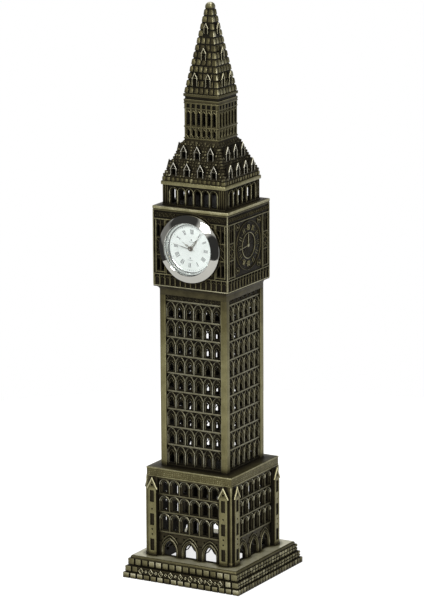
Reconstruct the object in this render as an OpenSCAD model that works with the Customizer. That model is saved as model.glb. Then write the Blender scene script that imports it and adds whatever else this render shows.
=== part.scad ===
// Miniature gothic clock tower: a die-cast metal model in antique bronze with a press-in quartz clock.
// The origin is the centre of the underside, +Z is up and the clock faces -Y. All sizes are in mm.

/* [Plinth] */
// Width of the lowest brick course
plinth_w = 55.4; // [54.4:0.1:57]
// Height of the plinth's flat top above the table
plinth_h = 9.5; // [9:0.25:11]
// Thickness of the hollow plinth's walls and top
plinth_wall = 1.5; // [1.3:0.1:1.6]

/* [Podium] */
// Width of the podium across its corner walls
podium_w = 40.8; // [40:0.2:41.2]
// Height of the podium walls
podium_h = 33.7; // [33:0.1:35]
// Arched openings across each upper storey of the podium
podium_bays = 6; // [5:1:7]
// Width of each gabled pilaster
pilaster_w = 3.8; // [3.4:0.1:4.2]
// How far the pilasters stand out of the corner walls
pilaster_proud = 1.1; // [0.8:0.1:1.3]
// Height of the cornice plate on the podium
podium_cornice_h = 4.1; // [3.5:0.1:5]

/* [Shaft] */
// Width of the shaft across its corner posts
shaft_w = 31.4; // [30.6:0.2:31.8]
// Height of the shaft walls
shaft_h = 72.8; // [70:0.1:80]
// Arched openings across the shaft
shaft_bays = 6; // [5:1:7]
// Rows of openings up the shaft
shaft_rows = 9; // [7:1:10]
// Width of a corner post
post_w = 2.7; // [2.5:0.1:3]

/* [Clock tier] */
// Width of the tier that holds the clock
tier_w = 35.3; // [34.8:0.1:35.5]
// Height of the tier's walls
tier_h = 32; // [31:0.5:34]
// Height of the collar between the shaft and the tier
collar_h = 4; // [3.5:0.1:4.5]
// Height of the slab on top of the tier
tier_slab_h = 1.4; // [1.2:0.1:2]

/* [Belfry and roof] */
// Width of the belfry
belfry_w = 29.6; // [29:0.2:30]
// Height of the belfry walls
belfry_h = 8.4; // [8:0.1:10]
// Height of the dentilled cornice on the belfry
belfry_cornice_h = 3.7; // [3.2:0.1:4.5]
// Height of the lower roof
roof_h = 14.8; // [14:0.1:16]
// Width of the open lantern
lantern_w = 16.3; // [15.8:0.1:16.4]
// Height of the lantern walls
lantern_h = 15.2; // [15:0.1:17]
// Height of the cap on the lantern
lantern_cap_h = 3.6; // [3:0.1:4.5]
// Height of the spire with its rounded tip
spire_h = 36.8; // [34:0.1:40]

/* [Clock insert] */
// Diameter of the polished bezel
bezel_d = 28.2; // [27.6:0.1:28.6]
// Diameter of the round hole that the insert is pushed into
insert_hole_d = 25.2; // [25:0.05:25.4]
// Diameter of the crystal
crystal_d = 21.7; // [21.5:0.05:21.75]
// Time shown, in minutes after twelve
shown_minutes = 606.5; // [0:0.1:719]

/* [Hidden] */
$fn = 48;
SIDES = ["front", "right", "back", "left"];
CORNERS = ["front_right", "back_right", "back_left", "front_left"];
PLATES = ["plinth", "base_screws", "podium_cornice", "clock_tier_collar", "clock_tier_slab",
    "belfry_cornice", "lower_roof", "lantern_cap", "spire"];
INSERT = ["insert_case", "crystal", "dial_ring", "dial", "movement_holder", "movement_plate", "coil",
    "circuit_board", "coin_cell", "battery_clip", "friction_ring", "case_back", "hour_wheel", "hour_hand",
    "cannon_pinion", "minute_hand", "seconds_arbor", "second_hand", "setting_lever", "stem", "crown"];
function four(name, ends) = [for (e = ends) str(name, "_", e)];

bronze = "#6f6140";
dark_bronze = "#4a4029";
steel = "#b9bcc0";
chrome = "#d9dbdf";
gold = "#c9a24b";
copper = "#a4562c";
white = "#f2f2ee";
black = "#1c1c1e";
green = "#2f6b3c";

gap = 0.05; // clearance of a tongue in its slot, a peg in its hole and a mitre
run = 0.06; // radial clearance of a turning or sliding shaft

podium_z = plinth_h;
podium_cornice_z = podium_z + podium_h;
shaft_z = podium_cornice_z + podium_cornice_h;
collar_z = shaft_z + shaft_h;
tier_z = collar_z + collar_h;
tier_slab_z = tier_z + tier_h;
belfry_z = tier_slab_z + tier_slab_h;
belfry_cornice_z = belfry_z + belfry_h;
roof_z = belfry_cornice_z + belfry_cornice_h;
lantern_z = roof_z + roof_h;
lantern_cap_z = lantern_z + lantern_h;
spire_z = lantern_cap_z + lantern_cap_h;

podium_r = podium_w / 2;
shaft_r = shaft_w / 2;
tier_r = tier_w / 2;
belfry_r = belfry_w / 2;
lantern_r = lantern_w / 2;

// ---- Shared pieces ----

// Turns a front feature onto side i: 0 front, 1 right, 2 back, 3 left
module on_side(i) rotate([0, 0, 90 * i]) children();

// A flat drawing as a slab of thickness t, its outer face at y = -reach and its lower edge at z
module slab(reach, t, z) translate([0, t - reach, z]) rotate([90, 0, 0]) linear_extrude(t) children();

// A square plate of half width r
module plate(r, z, h) translate([-r, -r, z]) cube([2 * r, 2 * r, h]);

// A pointed arch on straight sides, centred on x = 0 with its sill at y = 0
module pointed_arch(w, side, sharp = 0.8) {
    r = w * sharp;
    translate([-w / 2, 0]) square([w, side]);
    translate([0, side]) intersection() {
        translate([w / 2 - r, 0]) circle(r);
        translate([r - w / 2, 0]) circle(r);
        translate([-w / 2, 0]) square([w, r]);
    }
}

// A round-headed arch on straight sides
module round_arch(w, side) {
    translate([-w / 2, 0]) square([w, side]);
    translate([0, side]) circle(w / 2);
}

// Repeats a drawing n times at a pitch across the wall, centred
module across(n, pitch) for (i = [0 : n - 1]) translate([(i - (n - 1) / 2) * pitch, 0]) children();

// A rectangle centred on x = 0
module bar(w, z, h) translate([-w / 2, z]) square([w, h]);

tongue_w = 3;
tongue_t = 0.9;
tongue_l = 0.9;

// The pair of tongues on one wall's edge, which grow into their slots
module tongues(x, y, z, grow = 0) for (s = [-1, 1])
    translate([s * x - tongue_w / 2 - grow, -y - tongue_t / 2 - grow, z - grow])
        cube([tongue_w + 2 * grow, tongue_t + 2 * grow, tongue_l + 2 * grow]);

// The slots for one tier's four walls
module slots(x, y, z) for (i = [0 : 3]) on_side(i) tongues(x, y, z, gap);

// Four round pegs on a square, which grow into their holes
module pegs(at, r, z, l, grow = 0) for (x = [-at, at], y = [-at, at])
    translate([x, y, z - grow]) cylinder(r = r + grow, h = l + 2 * grow);

// Plan of a wall whose ends are mitred, extruded upwards
module mitred_wall(r, t, z, h) translate([0, 0, z]) linear_extrude(h)
    polygon([[gap - r, -r], [r - gap, -r], [r - t - gap, t - r], [t - r + gap, t - r]]);

// A square tapering body through [half width, height] rings, closed at both ends
module tapered(rings) {
    n = len(rings);
    corners = [[-1, -1], [1, -1], [1, 1], [-1, 1]];
    points = [for (g = rings, c = corners) [c[0] * g[0], c[1] * g[0], g[1]]];
    sides = [for (k = [0 : n - 2], j = [0 : 3])
        let (a = 4 * k + j, b = 4 * k + (j + 1) % 4) [a, a + 4, b + 4, b]];
    polyhedron(points, concat([[0, 1, 2, 3]], sides, [[4 * n - 1, 4 * n - 2, 4 * n - 3, 4 * n - 4]]));
}

// ---- Plinth ----

plinth_r = plinth_w / 2;
well_r = podium_r - 2.2; // the opening from the hollow plinth up into the podium
screw_at = podium_r - 3.3; // the bosses stand in the podium's corners
screw_r = 0.95;
// Each step of the plinth as [inset, foot, top]
courses = [[0, 0, 2.4], [0.7, 2.4, 5.4], [1.6, 5.4, plinth_h - 1], [2.6, plinth_h - 1, plinth_h]];
band_n = 13; // lozenges on the ornamental band

// The opening in the plinth's top, clear of the screws and of the podium's tongues
module well() difference() {
    plate(well_r, podium_z - plinth_wall - 0.1, plinth_wall + 0.2);
    pegs(screw_at, 3, podium_z - plinth_wall - 0.2, plinth_wall + 0.4);
    for (i = [0 : 3]) on_side(i) tongues(podium_tongue_x, podium_tongue_y, podium_z - 1, 0.8);
}

module plinth() color(bronze) {
    difference() {
        for (c = courses) plate(plinth_r - c[0], c[1], c[2] - c[1]);
        // The hollow follows the steps, one wall thickness in and under
        for (k = [0 : 2]) plate(plinth_r - courses[k][0] - plinth_wall, -1, courses[k][2] + 1 - plinth_wall
            + (k == 2 ? 1 : 0));
        well();
        pegs(screw_at, screw_r + gap, plinth_h - plinth_wall, plinth_wall, gap);
        slots(podium_tongue_x, podium_tongue_y, podium_z - tongue_l);
    }
    // The raised band on the front course, with a row of lozenges
    slab(plinth_r - 0.3, 0.7, 1.6) bar(41, 0, 3.6);
    slab(plinth_r, 0.5, 3.4) across(band_n, 3) rotate(45) square(1.5, center = true);
}

module base_screws() color(steel) difference() {
    union() {
        pegs(screw_at, 1.9, plinth_h - plinth_wall - 1.1, 1);
        pegs(screw_at, screw_r, plinth_h - plinth_wall - 0.6, plinth_wall + 5.6);
    }
    for (x = [-screw_at, screw_at], y = [-screw_at, screw_at], a = [0, 90])
        translate([x, y, plinth_h - plinth_wall - 1]) rotate(a) cube([2.4, 0.4, 0.8], center = true);
}

// ---- Podium ----

arm = 5.4; // length of each arm of a corner post
corner_wall = 2;
panel_r = podium_r - 0.6; // outer face of the panels
podium_pitch = 4.75;
podium_tongue_x = 4.8; // on the piers between the three great arches
podium_tongue_y = panel_r - 1.3;
podium_storeys = [10.5, 19, 26.6]; // sills of the upper storeys above the plinth
podium_peg_r = 1.2;
gable_h = 4.5;

// One upper storey's arches, w wide
module podium_row(w, side) across(podium_bays, podium_pitch * 6 / podium_bays) round_arch(w, side);

module podium_wall(i) color(dark_bronze) on_side(i) {
    half = podium_r - arm - gap;
    slab(panel_r - 0.6, 1.4, podium_z) difference() {
        bar(2 * half, 0, podium_h);
        for (s = podium_storeys) translate([0, s + 0.9]) podium_row(3, 3.2);
        across(3, 9.6) pointed_arch(5.5, 2.5);
    }
    slab(panel_r, 0.6, podium_z) difference() {
        bar(2 * half, 0, podium_h);
        for (s = podium_storeys) translate([0, s + 0.5]) podium_row(4, 3.9);
        across(3, 9.6) pointed_arch(7.6, 2.8);
    }
    tongues(podium_tongue_x, podium_tongue_y, podium_z - tongue_l);
    tongues(podium_tongue_x, podium_tongue_y, podium_cornice_z);
}

// The outline of a gabled pilaster
module pilaster_face() {
    bar(pilaster_w, 0, podium_h - gable_h);
    polygon([[-2.3, podium_h - gable_h], [2.3, podium_h - gable_h], [0, podium_h]]);
}

module podium_corner(i) color(bronze) on_side(i) {
    pilaster_x = podium_r - 3.45;
    difference() {
        union() {
            translate([podium_r - arm, -podium_r, podium_z]) cube([arm, corner_wall, podium_h]);
            translate([podium_r - corner_wall, -podium_r, podium_z]) cube([corner_wall, arm, podium_h]);
            translate([screw_at, -screw_at, podium_z]) cylinder(r = 2.2, h = podium_h);
            // The same pilaster on both faces of the corner
            for (turn = [0, 90], s = turn == 0 ? [1] : [-1]) rotate([0, 0, turn])
                slab(podium_r + pilaster_proud, pilaster_proud + 0.5, podium_z)
                    translate([s * pilaster_x, 0]) difference() {
                        pilaster_face();
                        for (z = [2.2, 13.1, 23.1]) bar(2, z, 5);
                    }
        }
        translate([screw_at, -screw_at, podium_z - 1]) cylinder(r = screw_r + gap, h = 7);
    }
    translate([screw_at, -screw_at, podium_cornice_z]) cylinder(r = podium_peg_r, h = tongue_l);
}

module podium_cornice() color(bronze) difference() {
    union() {
        plate(podium_r - 0.15, podium_cornice_z, podium_cornice_h - 0.8);
        plate(podium_r - 0.5, podium_cornice_z, podium_cornice_h);
    }
    slots(podium_tongue_x, podium_tongue_y, podium_cornice_z);
    pegs(screw_at, podium_peg_r, podium_cornice_z, tongue_l, gap);
    slots(shaft_tongue_x, shaft_tongue_y, shaft_z - tongue_l);
    pegs(post_at, post_peg_r, shaft_z - tongue_l, tongue_l, gap);
}

// ---- Shaft ----

shaft_face = shaft_r - 0.5; // outer face of the shaft's panels
shaft_tongue_x = 8;
shaft_tongue_y = shaft_face - 1;
post_at = shaft_r - post_w / 2;
post_peg_r = 0.8;
shaft_pitch = 4.35;
frieze_h = 2.3;
row_h = (shaft_h - frieze_h - 1.7) / shaft_rows; // the lowest row is taller by the sill

module shaft_wall(i) color(dark_bronze) on_side(i) {
    half = shaft_r - post_w - gap;
    pitch = shaft_pitch * 6 / shaft_bays;
    slab(shaft_face - 0.5, 1, shaft_z) difference() {
        bar(2 * half, 0, shaft_h);
        for (k = [0 : shaft_rows - 1]) translate([0, 2.3 + k * row_h]) across(shaft_bays, pitch)
            pointed_arch(pitch - 1.5, 3.7);
    }
    slab(shaft_face, 0.5, shaft_z) difference() {
        bar(2 * half, 0, shaft_h);
        for (k = [0 : shaft_rows - 1]) translate([0, 1.9 + k * row_h]) across(shaft_bays, pitch)
            pointed_arch(pitch - 0.8, 4.2);
    }
    tongues(shaft_tongue_x, shaft_tongue_y, shaft_z - tongue_l);
    tongues(shaft_tongue_x, shaft_tongue_y, collar_z);
}

module shaft_post(i) color(bronze) on_side(i) translate([post_at, -post_at, 0]) {
    translate([0, 0, shaft_z + shaft_h / 2]) cube([post_w, post_w, shaft_h], center = true);
    translate([0, 0, shaft_z - tongue_l]) cylinder(r = post_peg_r, h = shaft_h + 2 * tongue_l);
}

// ---- Clock tier ----

tier_wall = 2;
tier_tongue_y = tier_r - 1.1;
clock_z = tier_z + 16.9;
pocket = 0.5; // depth of the relief's sunk ground
arcade_n = 14;
dial_ring_r = 10.6;
cove_h = 2.1;

module clock_tier_collar() color(bronze) difference() {
    union() {
        plate(shaft_r, collar_z, collar_h);
        // The cove flares out in steps to the tier above
        for (k = [1 : 3]) plate(shaft_r + k * 0.45, tier_z - cove_h / k, cove_h / k);
    }
    slots(shaft_tongue_x, shaft_tongue_y, collar_z);
    pegs(post_at, post_peg_r, collar_z, tongue_l, gap);
    slots(shaft_tongue_x, tier_tongue_y, tier_z - tongue_l);
}

// A flat ring between two radii
module ring(outer, inner) difference() {
    circle(outer);
    circle(inner);
}

// The sunk ground of the arcade under the clock and of the frieze above it
module tier_bands() {
    across(arcade_n, 2.42) translate([0, 0.6]) round_arch(1.6, 2.2);
    translate([0, 30]) across(arcade_n, 2.42) circle(0.85);
}

// The sunk ground round a relief dial, its numeral strokes and its hands
module relief_dial() translate([0, clock_z - tier_z]) difference() {
    square(22, center = true);
    ring(dial_ring_r, dial_ring_r - 0.8);
    ring(5.6, 4.9);
    circle(1.1);
    for (k = [0 : 11]) rotate(30 * k) translate([0, 7.5]) square([1, 3], center = true);
    translate([-0.4, 0]) square([0.8, 4.2]);
    translate([0, -0.4]) square([3.2, 0.8]);
    for (a = [45 : 90 : 315]) rotate(a) translate([13, 0]) circle(1.4);
}

// The sunk lattice in the strips beside the dial
module side_strips() for (s = [-1, 1], z = [6.6, 13.4, 20.2]) translate([s * 14, z]) difference() {
    bar(4.2, 0, 5.8);
    for (a = [-55, 55]) translate([0, 2.9]) rotate(a) square([9, 0.8], center = true);
}

module clock_panel(i) color(bronze) on_side(i) {
    difference() {
        mitred_wall(tier_r, tier_wall, tier_z, tier_h);
        slab(tier_r + 0.1, pocket + 0.1, tier_z) {
            tier_bands();
            side_strips();
            if (i > 0) relief_dial();
        }
        if (i == 0) translate([0, 0, clock_z]) rotate([90, 0, 0]) cylinder(d = insert_hole_d, h = tier_w);
    }
    tongues(shaft_tongue_x, tier_tongue_y, tier_z - tongue_l);
    tongues(shaft_tongue_x, tier_tongue_y, tier_slab_z);
}

module clock_tier_slab() color(bronze) difference() {
    plate(tier_r + 0.05, tier_slab_z, tier_slab_h);
    slots(shaft_tongue_x, tier_tongue_y, tier_slab_z);
    slots(shaft_tongue_x, belfry_tongue_y, belfry_z - tongue_l);
}

// ---- Belfry ----

belfry_wall_t = 1.6;
belfry_tongue_y = belfry_r - 0.9;
roof_wall = 2.6;
roof_peg_at = belfry_r - 1.5;

module belfry_wall(i) color(bronze) on_side(i) {
    difference() {
        mitred_wall(belfry_r, belfry_wall_t, belfry_z, belfry_h);
        slab(belfry_r + 0.1, 2, belfry_z + 0.6) across(6, 3.75) round_arch(2.9, 5.3);
    }
    tongues(shaft_tongue_x, belfry_tongue_y, belfry_z - tongue_l);
    tongues(shaft_tongue_x, belfry_tongue_y, belfry_cornice_z);
}

module belfry_cornice() color(bronze) difference() {
    union() {
        plate(belfry_r + 0.3, belfry_cornice_z, 1.5);
        plate(belfry_r - 0.4, belfry_cornice_z, belfry_cornice_h);
        // Dentils
        for (i = [0 : 3]) on_side(i)
            slab(belfry_r, 1.2, belfry_cornice_z + 1.5) across(14, 2.05) bar(1, 0, 1.6);
    }
    slots(shaft_tongue_x, belfry_tongue_y, belfry_cornice_z);
    pegs(roof_peg_at, post_peg_r, roof_z - tongue_l, tongue_l, gap);
}

// ---- Lower roof ----

// The roof's slightly hollow slope as [half width, height above its foot]
roof_head = lantern_r + 0.7;
roof_rings = [[belfry_r - 0.1, 0], [13, 4.2], [11.7, 6.8], [10.3, 11.4], [roof_head, 14],
    [roof_head, roof_h]];
roof_under = [[belfry_r - roof_wall, -0.1], [13 - roof_wall, 4], [7.6, 11.4], [7, 13]];

// A gabled dormer front, w wide, with its sill at y = 0
module dormer_face(w, h)
    polygon([[-w / 2, 0], [w / 2, 0], [w / 2, h - w / 2], [0, h], [-w / 2, h - w / 2]]);

// A row of n dormers reaching out to y = -reach, with openings when hole is true
module dormers(n, pitch, w, h, reach, depth, z, hole) for (i = [0 : 3]) on_side(i)
    slab(reach + (hole ? 0.1 : 0), depth + (hole ? 1.5 : 0), z) across(n, pitch)
        if (hole) translate([0, 0.7]) pointed_arch(w - 1.3, h - w - 0.3);
        else dormer_face(w, h);

module roof_dormers(hole) {
    dormers(4, 5.9, 3.4, 5.6, 14.4, 3.4, roof_z + 0.6, hole);
    dormers(3, 6, 3.4, 5.6, 12.4, 3.4, roof_z + 6.9, hole);
}

module rings_at(rings, z) tapered([for (g = rings) [g[0], g[1] + z]]);

module lower_roof() color(bronze) {
    difference() {
        union() {
            rings_at(roof_rings, roof_z);
            roof_dormers(false);
        }
        rings_at(roof_under, roof_z);
        roof_dormers(true);
        slots(lantern_tongue_x, lantern_tongue_y, lantern_z - tongue_l);
    }
    pegs(roof_peg_at, post_peg_r, roof_z - tongue_l, tongue_l);
}

// ---- Lantern ----

lantern_wall_t = 1.2;
lantern_tongue_x = 4;
lantern_tongue_y = lantern_r - 0.65;
spire_peg_at = lantern_r - 0.9;
spire_peg_r = 0.5;

module lantern_wall(i) color(bronze) on_side(i) {
    difference() {
        mitred_wall(lantern_r, lantern_wall_t, lantern_z, lantern_h);
        slab(lantern_r + 0.1, 2, lantern_z) across(6, 2.4) {
            translate([0, 1]) round_arch(1.5, 2.4);
            translate([0, 5.9]) pointed_arch(1.5, 4.6);
            bar(1.3, 13.1, 1.3);
        }
    }
    tongues(lantern_tongue_x, lantern_tongue_y, lantern_z - tongue_l);
    tongues(lantern_tongue_x, lantern_tongue_y, lantern_cap_z);
}

module lantern_cap() color(bronze) difference() {
    union() {
        plate(lantern_r, lantern_cap_z, lantern_cap_h);
        plate(lantern_r + 0.2, lantern_cap_z + 0.6, 1.2);
    }
    slots(lantern_tongue_x, lantern_tongue_y, lantern_cap_z);
    pegs(spire_peg_at, spire_peg_r, spire_z - tongue_l, tongue_l, gap);
}

// ---- Spire ----

tip_r = 1.7;
spire_wall = 1.6;
spire_rings = [[lantern_r, 0], [1.6, spire_h - tip_r]];
spire_under = [[lantern_r - spire_wall, -0.1], [0.8, spire_h - 9]];

module spire_dormers(hole) {
    dormers(2, 5.2, 3, 5, 8, 3, spire_z + 3.8, hole);
    dormers(1, 5, 2.6, 4.4, 5.7, 2.4, spire_z + 14, hole);
    dormers(1, 5, 2.2, 4, 3.7, 2, spire_z + 24, hole);
}

module spire() color(bronze) {
    difference() {
        union() {
            rings_at(spire_rings, spire_z);
            spire_dormers(false);
            translate([0, 0, spire_z + spire_h - tip_r]) sphere(tip_r);
        }
        rings_at(spire_under, spire_z);
        spire_dormers(true);
    }
    pegs(spire_peg_at, spire_peg_r, spire_z - tongue_l, tongue_l);
}

// ---- Clock insert: z below is the height towards the viewer from the tower's axis ----

flange_z = tier_r + gap; // the bezel's back rests on the panel
case_r = 11.9;
bore_r = crystal_d / 2 + gap;
case_rear = 10.4;
crystal_z = 18.6;
dial_z = 16.55;
stem_z = 13.2;
stem_r = 0.4;
arbor_r = 0.25;
cannon_r = 0.5;
hour_tube_r = 0.8;
cell = [-4.6, -2.8];
minute_turn = 6 * shown_minutes;
hour_turn = shown_minutes / 2;
second_turn = 282;
hand_t = 0.18;

module at_clock() translate([0, 0, clock_z]) rotate([90, 0, 0]) children();

// A tube between two radii, from z to z + h
module tube(outer, inner, z, h) translate([0, 0, z]) linear_extrude(h) ring(outer, inner);

module insert_case() color(chrome) at_clock() difference() {
    rotate_extrude() polygon([[bore_r, case_rear], [case_r, case_rear], [case_r, flange_z],
        [bezel_d / 2, flange_z], [bezel_d / 2, flange_z + 0.8], [bezel_d / 2 - 0.3, flange_z + 1],
        [11.5, 19.95], [11.1, 20.05], [bore_r, 19.85]]);
    translate([8, 0, stem_z]) rotate([0, 90, 0]) cylinder(r = stem_r + run, h = 6);
}

module crystal() color("#cfe3ea", 0.35) at_clock() translate([0, 0, crystal_z])
    cylinder(d = crystal_d, h = 1.1);

module dial_ring() color(steel) at_clock() rotate_extrude()
    polygon([[10, dial_z + 0.4], [crystal_d / 2, dial_z + 0.4], [crystal_d / 2, crystal_z - gap],
        [10.7, crystal_z - gap]]);

module dial() color(white) at_clock() tube(crystal_d / 2, hour_tube_r + 0.15, dial_z, 0.4);

module movement_holder() color(white) at_clock() difference() {
    tube(crystal_d / 2, 9.1, 11.6, dial_z - 11.6);
    translate([6, 0, stem_z]) rotate([0, 90, 0]) cylinder(r = stem_r + run, h = 8);
}

module movement_plate() color(gold) at_clock() tube(9.05, arbor_r + run, 14.9, 0.7);

module coil() color(copper) at_clock() translate([-3.2, 6.2, 13.6]) rotate([0, 90, 0]) {
    cylinder(r = 1.1, h = 6.4);
    for (z = [0, 6]) translate([0, 0, z]) cylinder(r = 1.25, h = 0.4);
}

module circuit_board() color(green) at_clock() {
    translate([2, -6, 14.3]) cube([4.6, 4.6, 0.4]);
    translate([2.4, -4, 13.5]) cube([1.8, 1.8, 0.9]);
    translate([5.4, -5.2, 13.6]) rotate([-90, 0, 0]) cylinder(r = 0.75, h = 3.4);
}

module coin_cell() color(steel) at_clock() translate([cell[0], cell[1], 0]) {
    translate([0, 0, 12.6]) cylinder(r = 3.4, h = 2.1);
    translate([0, 0, 12.3]) cylinder(r = 2.7, h = 0.4);
}

module battery_clip() color(gold) at_clock() translate([cell[0], cell[1], 11.95]) {
    translate([-0.8, -3.6, 0]) cube([1.6, 7.2, 0.3]);
    translate([-0.8, 3.55, 0]) cube([1.6, 0.3, 2.9]);
}

module friction_ring() color(black) at_clock() tube(insert_hole_d / 2 - gap, case_r + gap, 15.2, 2.2);

module case_back() color(steel) at_clock() {
    difference() {
        translate([0, 0, 9.4]) cylinder(r = case_r, h = 0.95);
        translate([0, 0, 9.3]) cylinder(r = 8.5, h = 0.3);
    }
    tube(bore_r - gap, bore_r - 0.8, 10.3, 0.9);
}

module hour_wheel() color(gold) at_clock() {
    tube(2.6, cannon_r + run, 16, 0.25);
    tube(hour_tube_r, cannon_r + run, 16.2, 1.3);
}

// A leaf-shaped hand pointing up, with an eye of radius eye bored to fit its arbor
module hand(reach, w, eye, bore, z) at_clock() difference() {
    union() {
        translate([0, 0, z]) cylinder(r = eye, h = hand_t);
        translate([0, 0, z]) linear_extrude(hand_t)
            polygon([[-w * 0.3, 0], [-w / 2, reach * 0.45], [0, reach], [w / 2, reach * 0.45],
                [w * 0.3, 0]]);
    }
    translate([0, 0, z - 1]) cylinder(r = bore, h = 3);
}

// Turns a hand clockwise about the clock's axis, as seen from the front
module clockwise(a) translate([0, 0, clock_z]) rotate([0, a, 0]) translate([0, 0, -clock_z]) children();

module hour_hand() color(black) clockwise(hour_turn) hand(4.6, 0.8, 1.2, hour_tube_r + 0.02, 17.3);

module cannon_pinion() color(gold) at_clock() {
    tube(0.95, arbor_r + run, 15.7, 0.2);
    tube(cannon_r, arbor_r + run, 15.8, 2.15);
}

module minute_hand() color(black) clockwise(minute_turn) hand(8.8, 0.7, 0.9, cannon_r + 0.02, 17.75);

module seconds_arbor() color(steel) at_clock() {
    translate([0, 0, 13.2]) cylinder(r = arbor_r, h = 5.1);
    translate([0, 0, 13.9]) cylinder(r = 1.7, h = 0.2);
}

module second_hand() color(black) clockwise(second_turn) {
    hand(8.4, 0.3, 0.6, arbor_r + 0.02, 18.12);
    hand(-2.6, 0.4, 0.6, arbor_r + 0.02, 18.12);
}

// The lever straddles the stem between its two collars
module setting_lever() color(steel) at_clock() difference() {
    translate([4.99, -1.1, 12.1]) cube([0.52, 2.2, 2.2]);
    translate([4, 0, stem_z]) rotate([0, 90, 0]) cylinder(r = stem_r + run, h = 3);
}

module stem() color(steel) at_clock() translate([0, 0, stem_z]) rotate([0, 90, 0]) {
    translate([0, 0, 3.4]) cylinder(r = stem_r, h = 8.6);
    for (x = [4.55, 5.6]) translate([0, 0, x]) cylinder(r = 0.7, h = 0.35);
}

module crown() color(steel) at_clock() translate([0, 0, stem_z]) rotate([0, 90, 0])
    translate([0, 0, 12]) difference() {
        cylinder(r = 1, h = 0.5);
        for (a = [0 : 30 : 330]) rotate(a) translate([1, 0, 0.25]) cube([0.16, 0.16, 1], center = true);
    }

// ---- Assembly ----

plinth();
base_screws();
podium_cornice();
clock_tier_collar();
clock_tier_slab();
belfry_cornice();
lower_roof();
lantern_cap();
spire();
for (i = [0 : 3]) {
    podium_wall(i);
    podium_corner(i);
    shaft_wall(i);
    shaft_post(i);
    clock_panel(i);
    belfry_wall(i);
    lantern_wall(i);
}
insert_case();
crystal();
dial_ring();
dial();
movement_holder();
movement_plate();
coil();
circuit_board();
coin_cell();
battery_clip();
friction_ring();
case_back();
hour_wheel();
hour_hand();
cannon_pinion();
minute_hand();
seconds_arbor();
second_hand();
setting_lever();
stem();
crown();
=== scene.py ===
"""The looks of a miniature gothic clock tower in antique bronze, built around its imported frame.

Shapes are drawn in millimetres as (across, up, out) on one side of the tower, where out is the distance
from the tower's axis, and are then turned onto side 0 (front), 1 (right), 2 (back) or 3 (left).
"""
import math

import bmesh
import bpy
import numpy as np
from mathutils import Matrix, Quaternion, Vector
from mathutils.geometry import delaunay_2d_cdt


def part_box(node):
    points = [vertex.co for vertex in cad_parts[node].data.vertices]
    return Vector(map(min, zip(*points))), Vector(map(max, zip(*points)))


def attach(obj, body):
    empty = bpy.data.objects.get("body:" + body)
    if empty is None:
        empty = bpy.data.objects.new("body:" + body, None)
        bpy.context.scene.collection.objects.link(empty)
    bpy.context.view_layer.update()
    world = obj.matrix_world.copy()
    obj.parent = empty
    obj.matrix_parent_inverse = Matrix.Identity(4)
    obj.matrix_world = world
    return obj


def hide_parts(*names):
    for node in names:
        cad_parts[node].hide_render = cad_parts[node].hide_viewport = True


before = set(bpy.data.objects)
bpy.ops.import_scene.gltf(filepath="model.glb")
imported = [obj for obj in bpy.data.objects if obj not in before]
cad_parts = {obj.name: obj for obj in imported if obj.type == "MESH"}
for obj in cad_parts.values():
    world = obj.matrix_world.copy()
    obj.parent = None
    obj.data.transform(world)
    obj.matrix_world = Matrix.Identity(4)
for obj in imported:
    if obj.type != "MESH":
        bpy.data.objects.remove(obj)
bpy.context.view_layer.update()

MM = 1000.0
RNG = np.random.default_rng(7)
SIDES = ("front", "right", "back", "left")
FRONT, RIGHT, BACK, LEFT = range(4)
CORNERS = ("front_right", "back_right", "back_left", "front_left")
TURNS = ((1, 0), (0, 1), (-1, 0), (0, -1))  # cosine and sine of each side's turn
TOWER, INSERT = "tower", "insert"
DIAGONALS = ((1, 1), (-1, 1), (-1, -1), (1, -1))


# ---- Levels and half widths, from the frame ----

def foot(node):
    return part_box(node)[0][2] * MM


def top(node):
    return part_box(node)[1][2] * MM


def reach(node):
    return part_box(node)[1][0] * MM


def depth(node):
    """How far out a node of the clock starts and ends."""
    lo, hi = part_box(node)
    return -hi[1] * MM, -lo[1] * MM


PLINTH_R, PODIUM_Z = reach("plinth"), top("plinth")
PODIUM_TOP, SHAFT_Z = foot("podium_cornice"), top("podium_cornice")
CORNICE_R, PILASTER_OUT = reach("podium_cornice"), reach("podium_corner_front_right")
PODIUM_R = CORNICE_R + 0.15
SHAFT_TOP, TIER_Z = foot("clock_tier_collar"), top("clock_tier_collar")
SHAFT_R, TIER_R = reach("shaft_post_front_right"), reach("clock_panel_right")
TIER_TOP, BELFRY_Z = foot("clock_tier_slab"), top("clock_tier_slab")
BELFRY_TOP, ROOF_Z = foot("belfry_cornice"), top("belfry_cornice")
BELFRY_R, ROOF_R = reach("belfry_right"), reach("belfry_right") - 0.1
LANTERN_Z, LANTERN_TOP = top("lower_roof"), foot("lantern_cap")
LANTERN_R, SPIRE_Z, SPIRE_TOP = reach("lantern_right"), top("lantern_cap"), top("spire")
CASE_LO, CASE_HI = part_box("insert_case")
CLOCK_Z = (CASE_LO[2] + CASE_HI[2]) / 2 * MM
CLOCK = (0, CLOCK_Z)
BEZEL_R = (CASE_HI[0] - CASE_LO[0]) / 2 * MM
CASE_REAR, BEZEL_OUT = depth("insert_case")
DIAL_REAR, DIAL_OUT = depth("dial")
CRYSTAL_LO, CRYSTAL_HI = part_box("crystal")
CRYSTAL_R = (CRYSTAL_HI[0] - CRYSTAL_LO[0]) / 2 * MM
ROOT = 0.2  # how deep a relief is rooted in the ground it stands on
ROUND, POINTED = 0.52, 0.8  # radius of an arch's sides as a share of its width


# ---- Shapes ----

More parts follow.
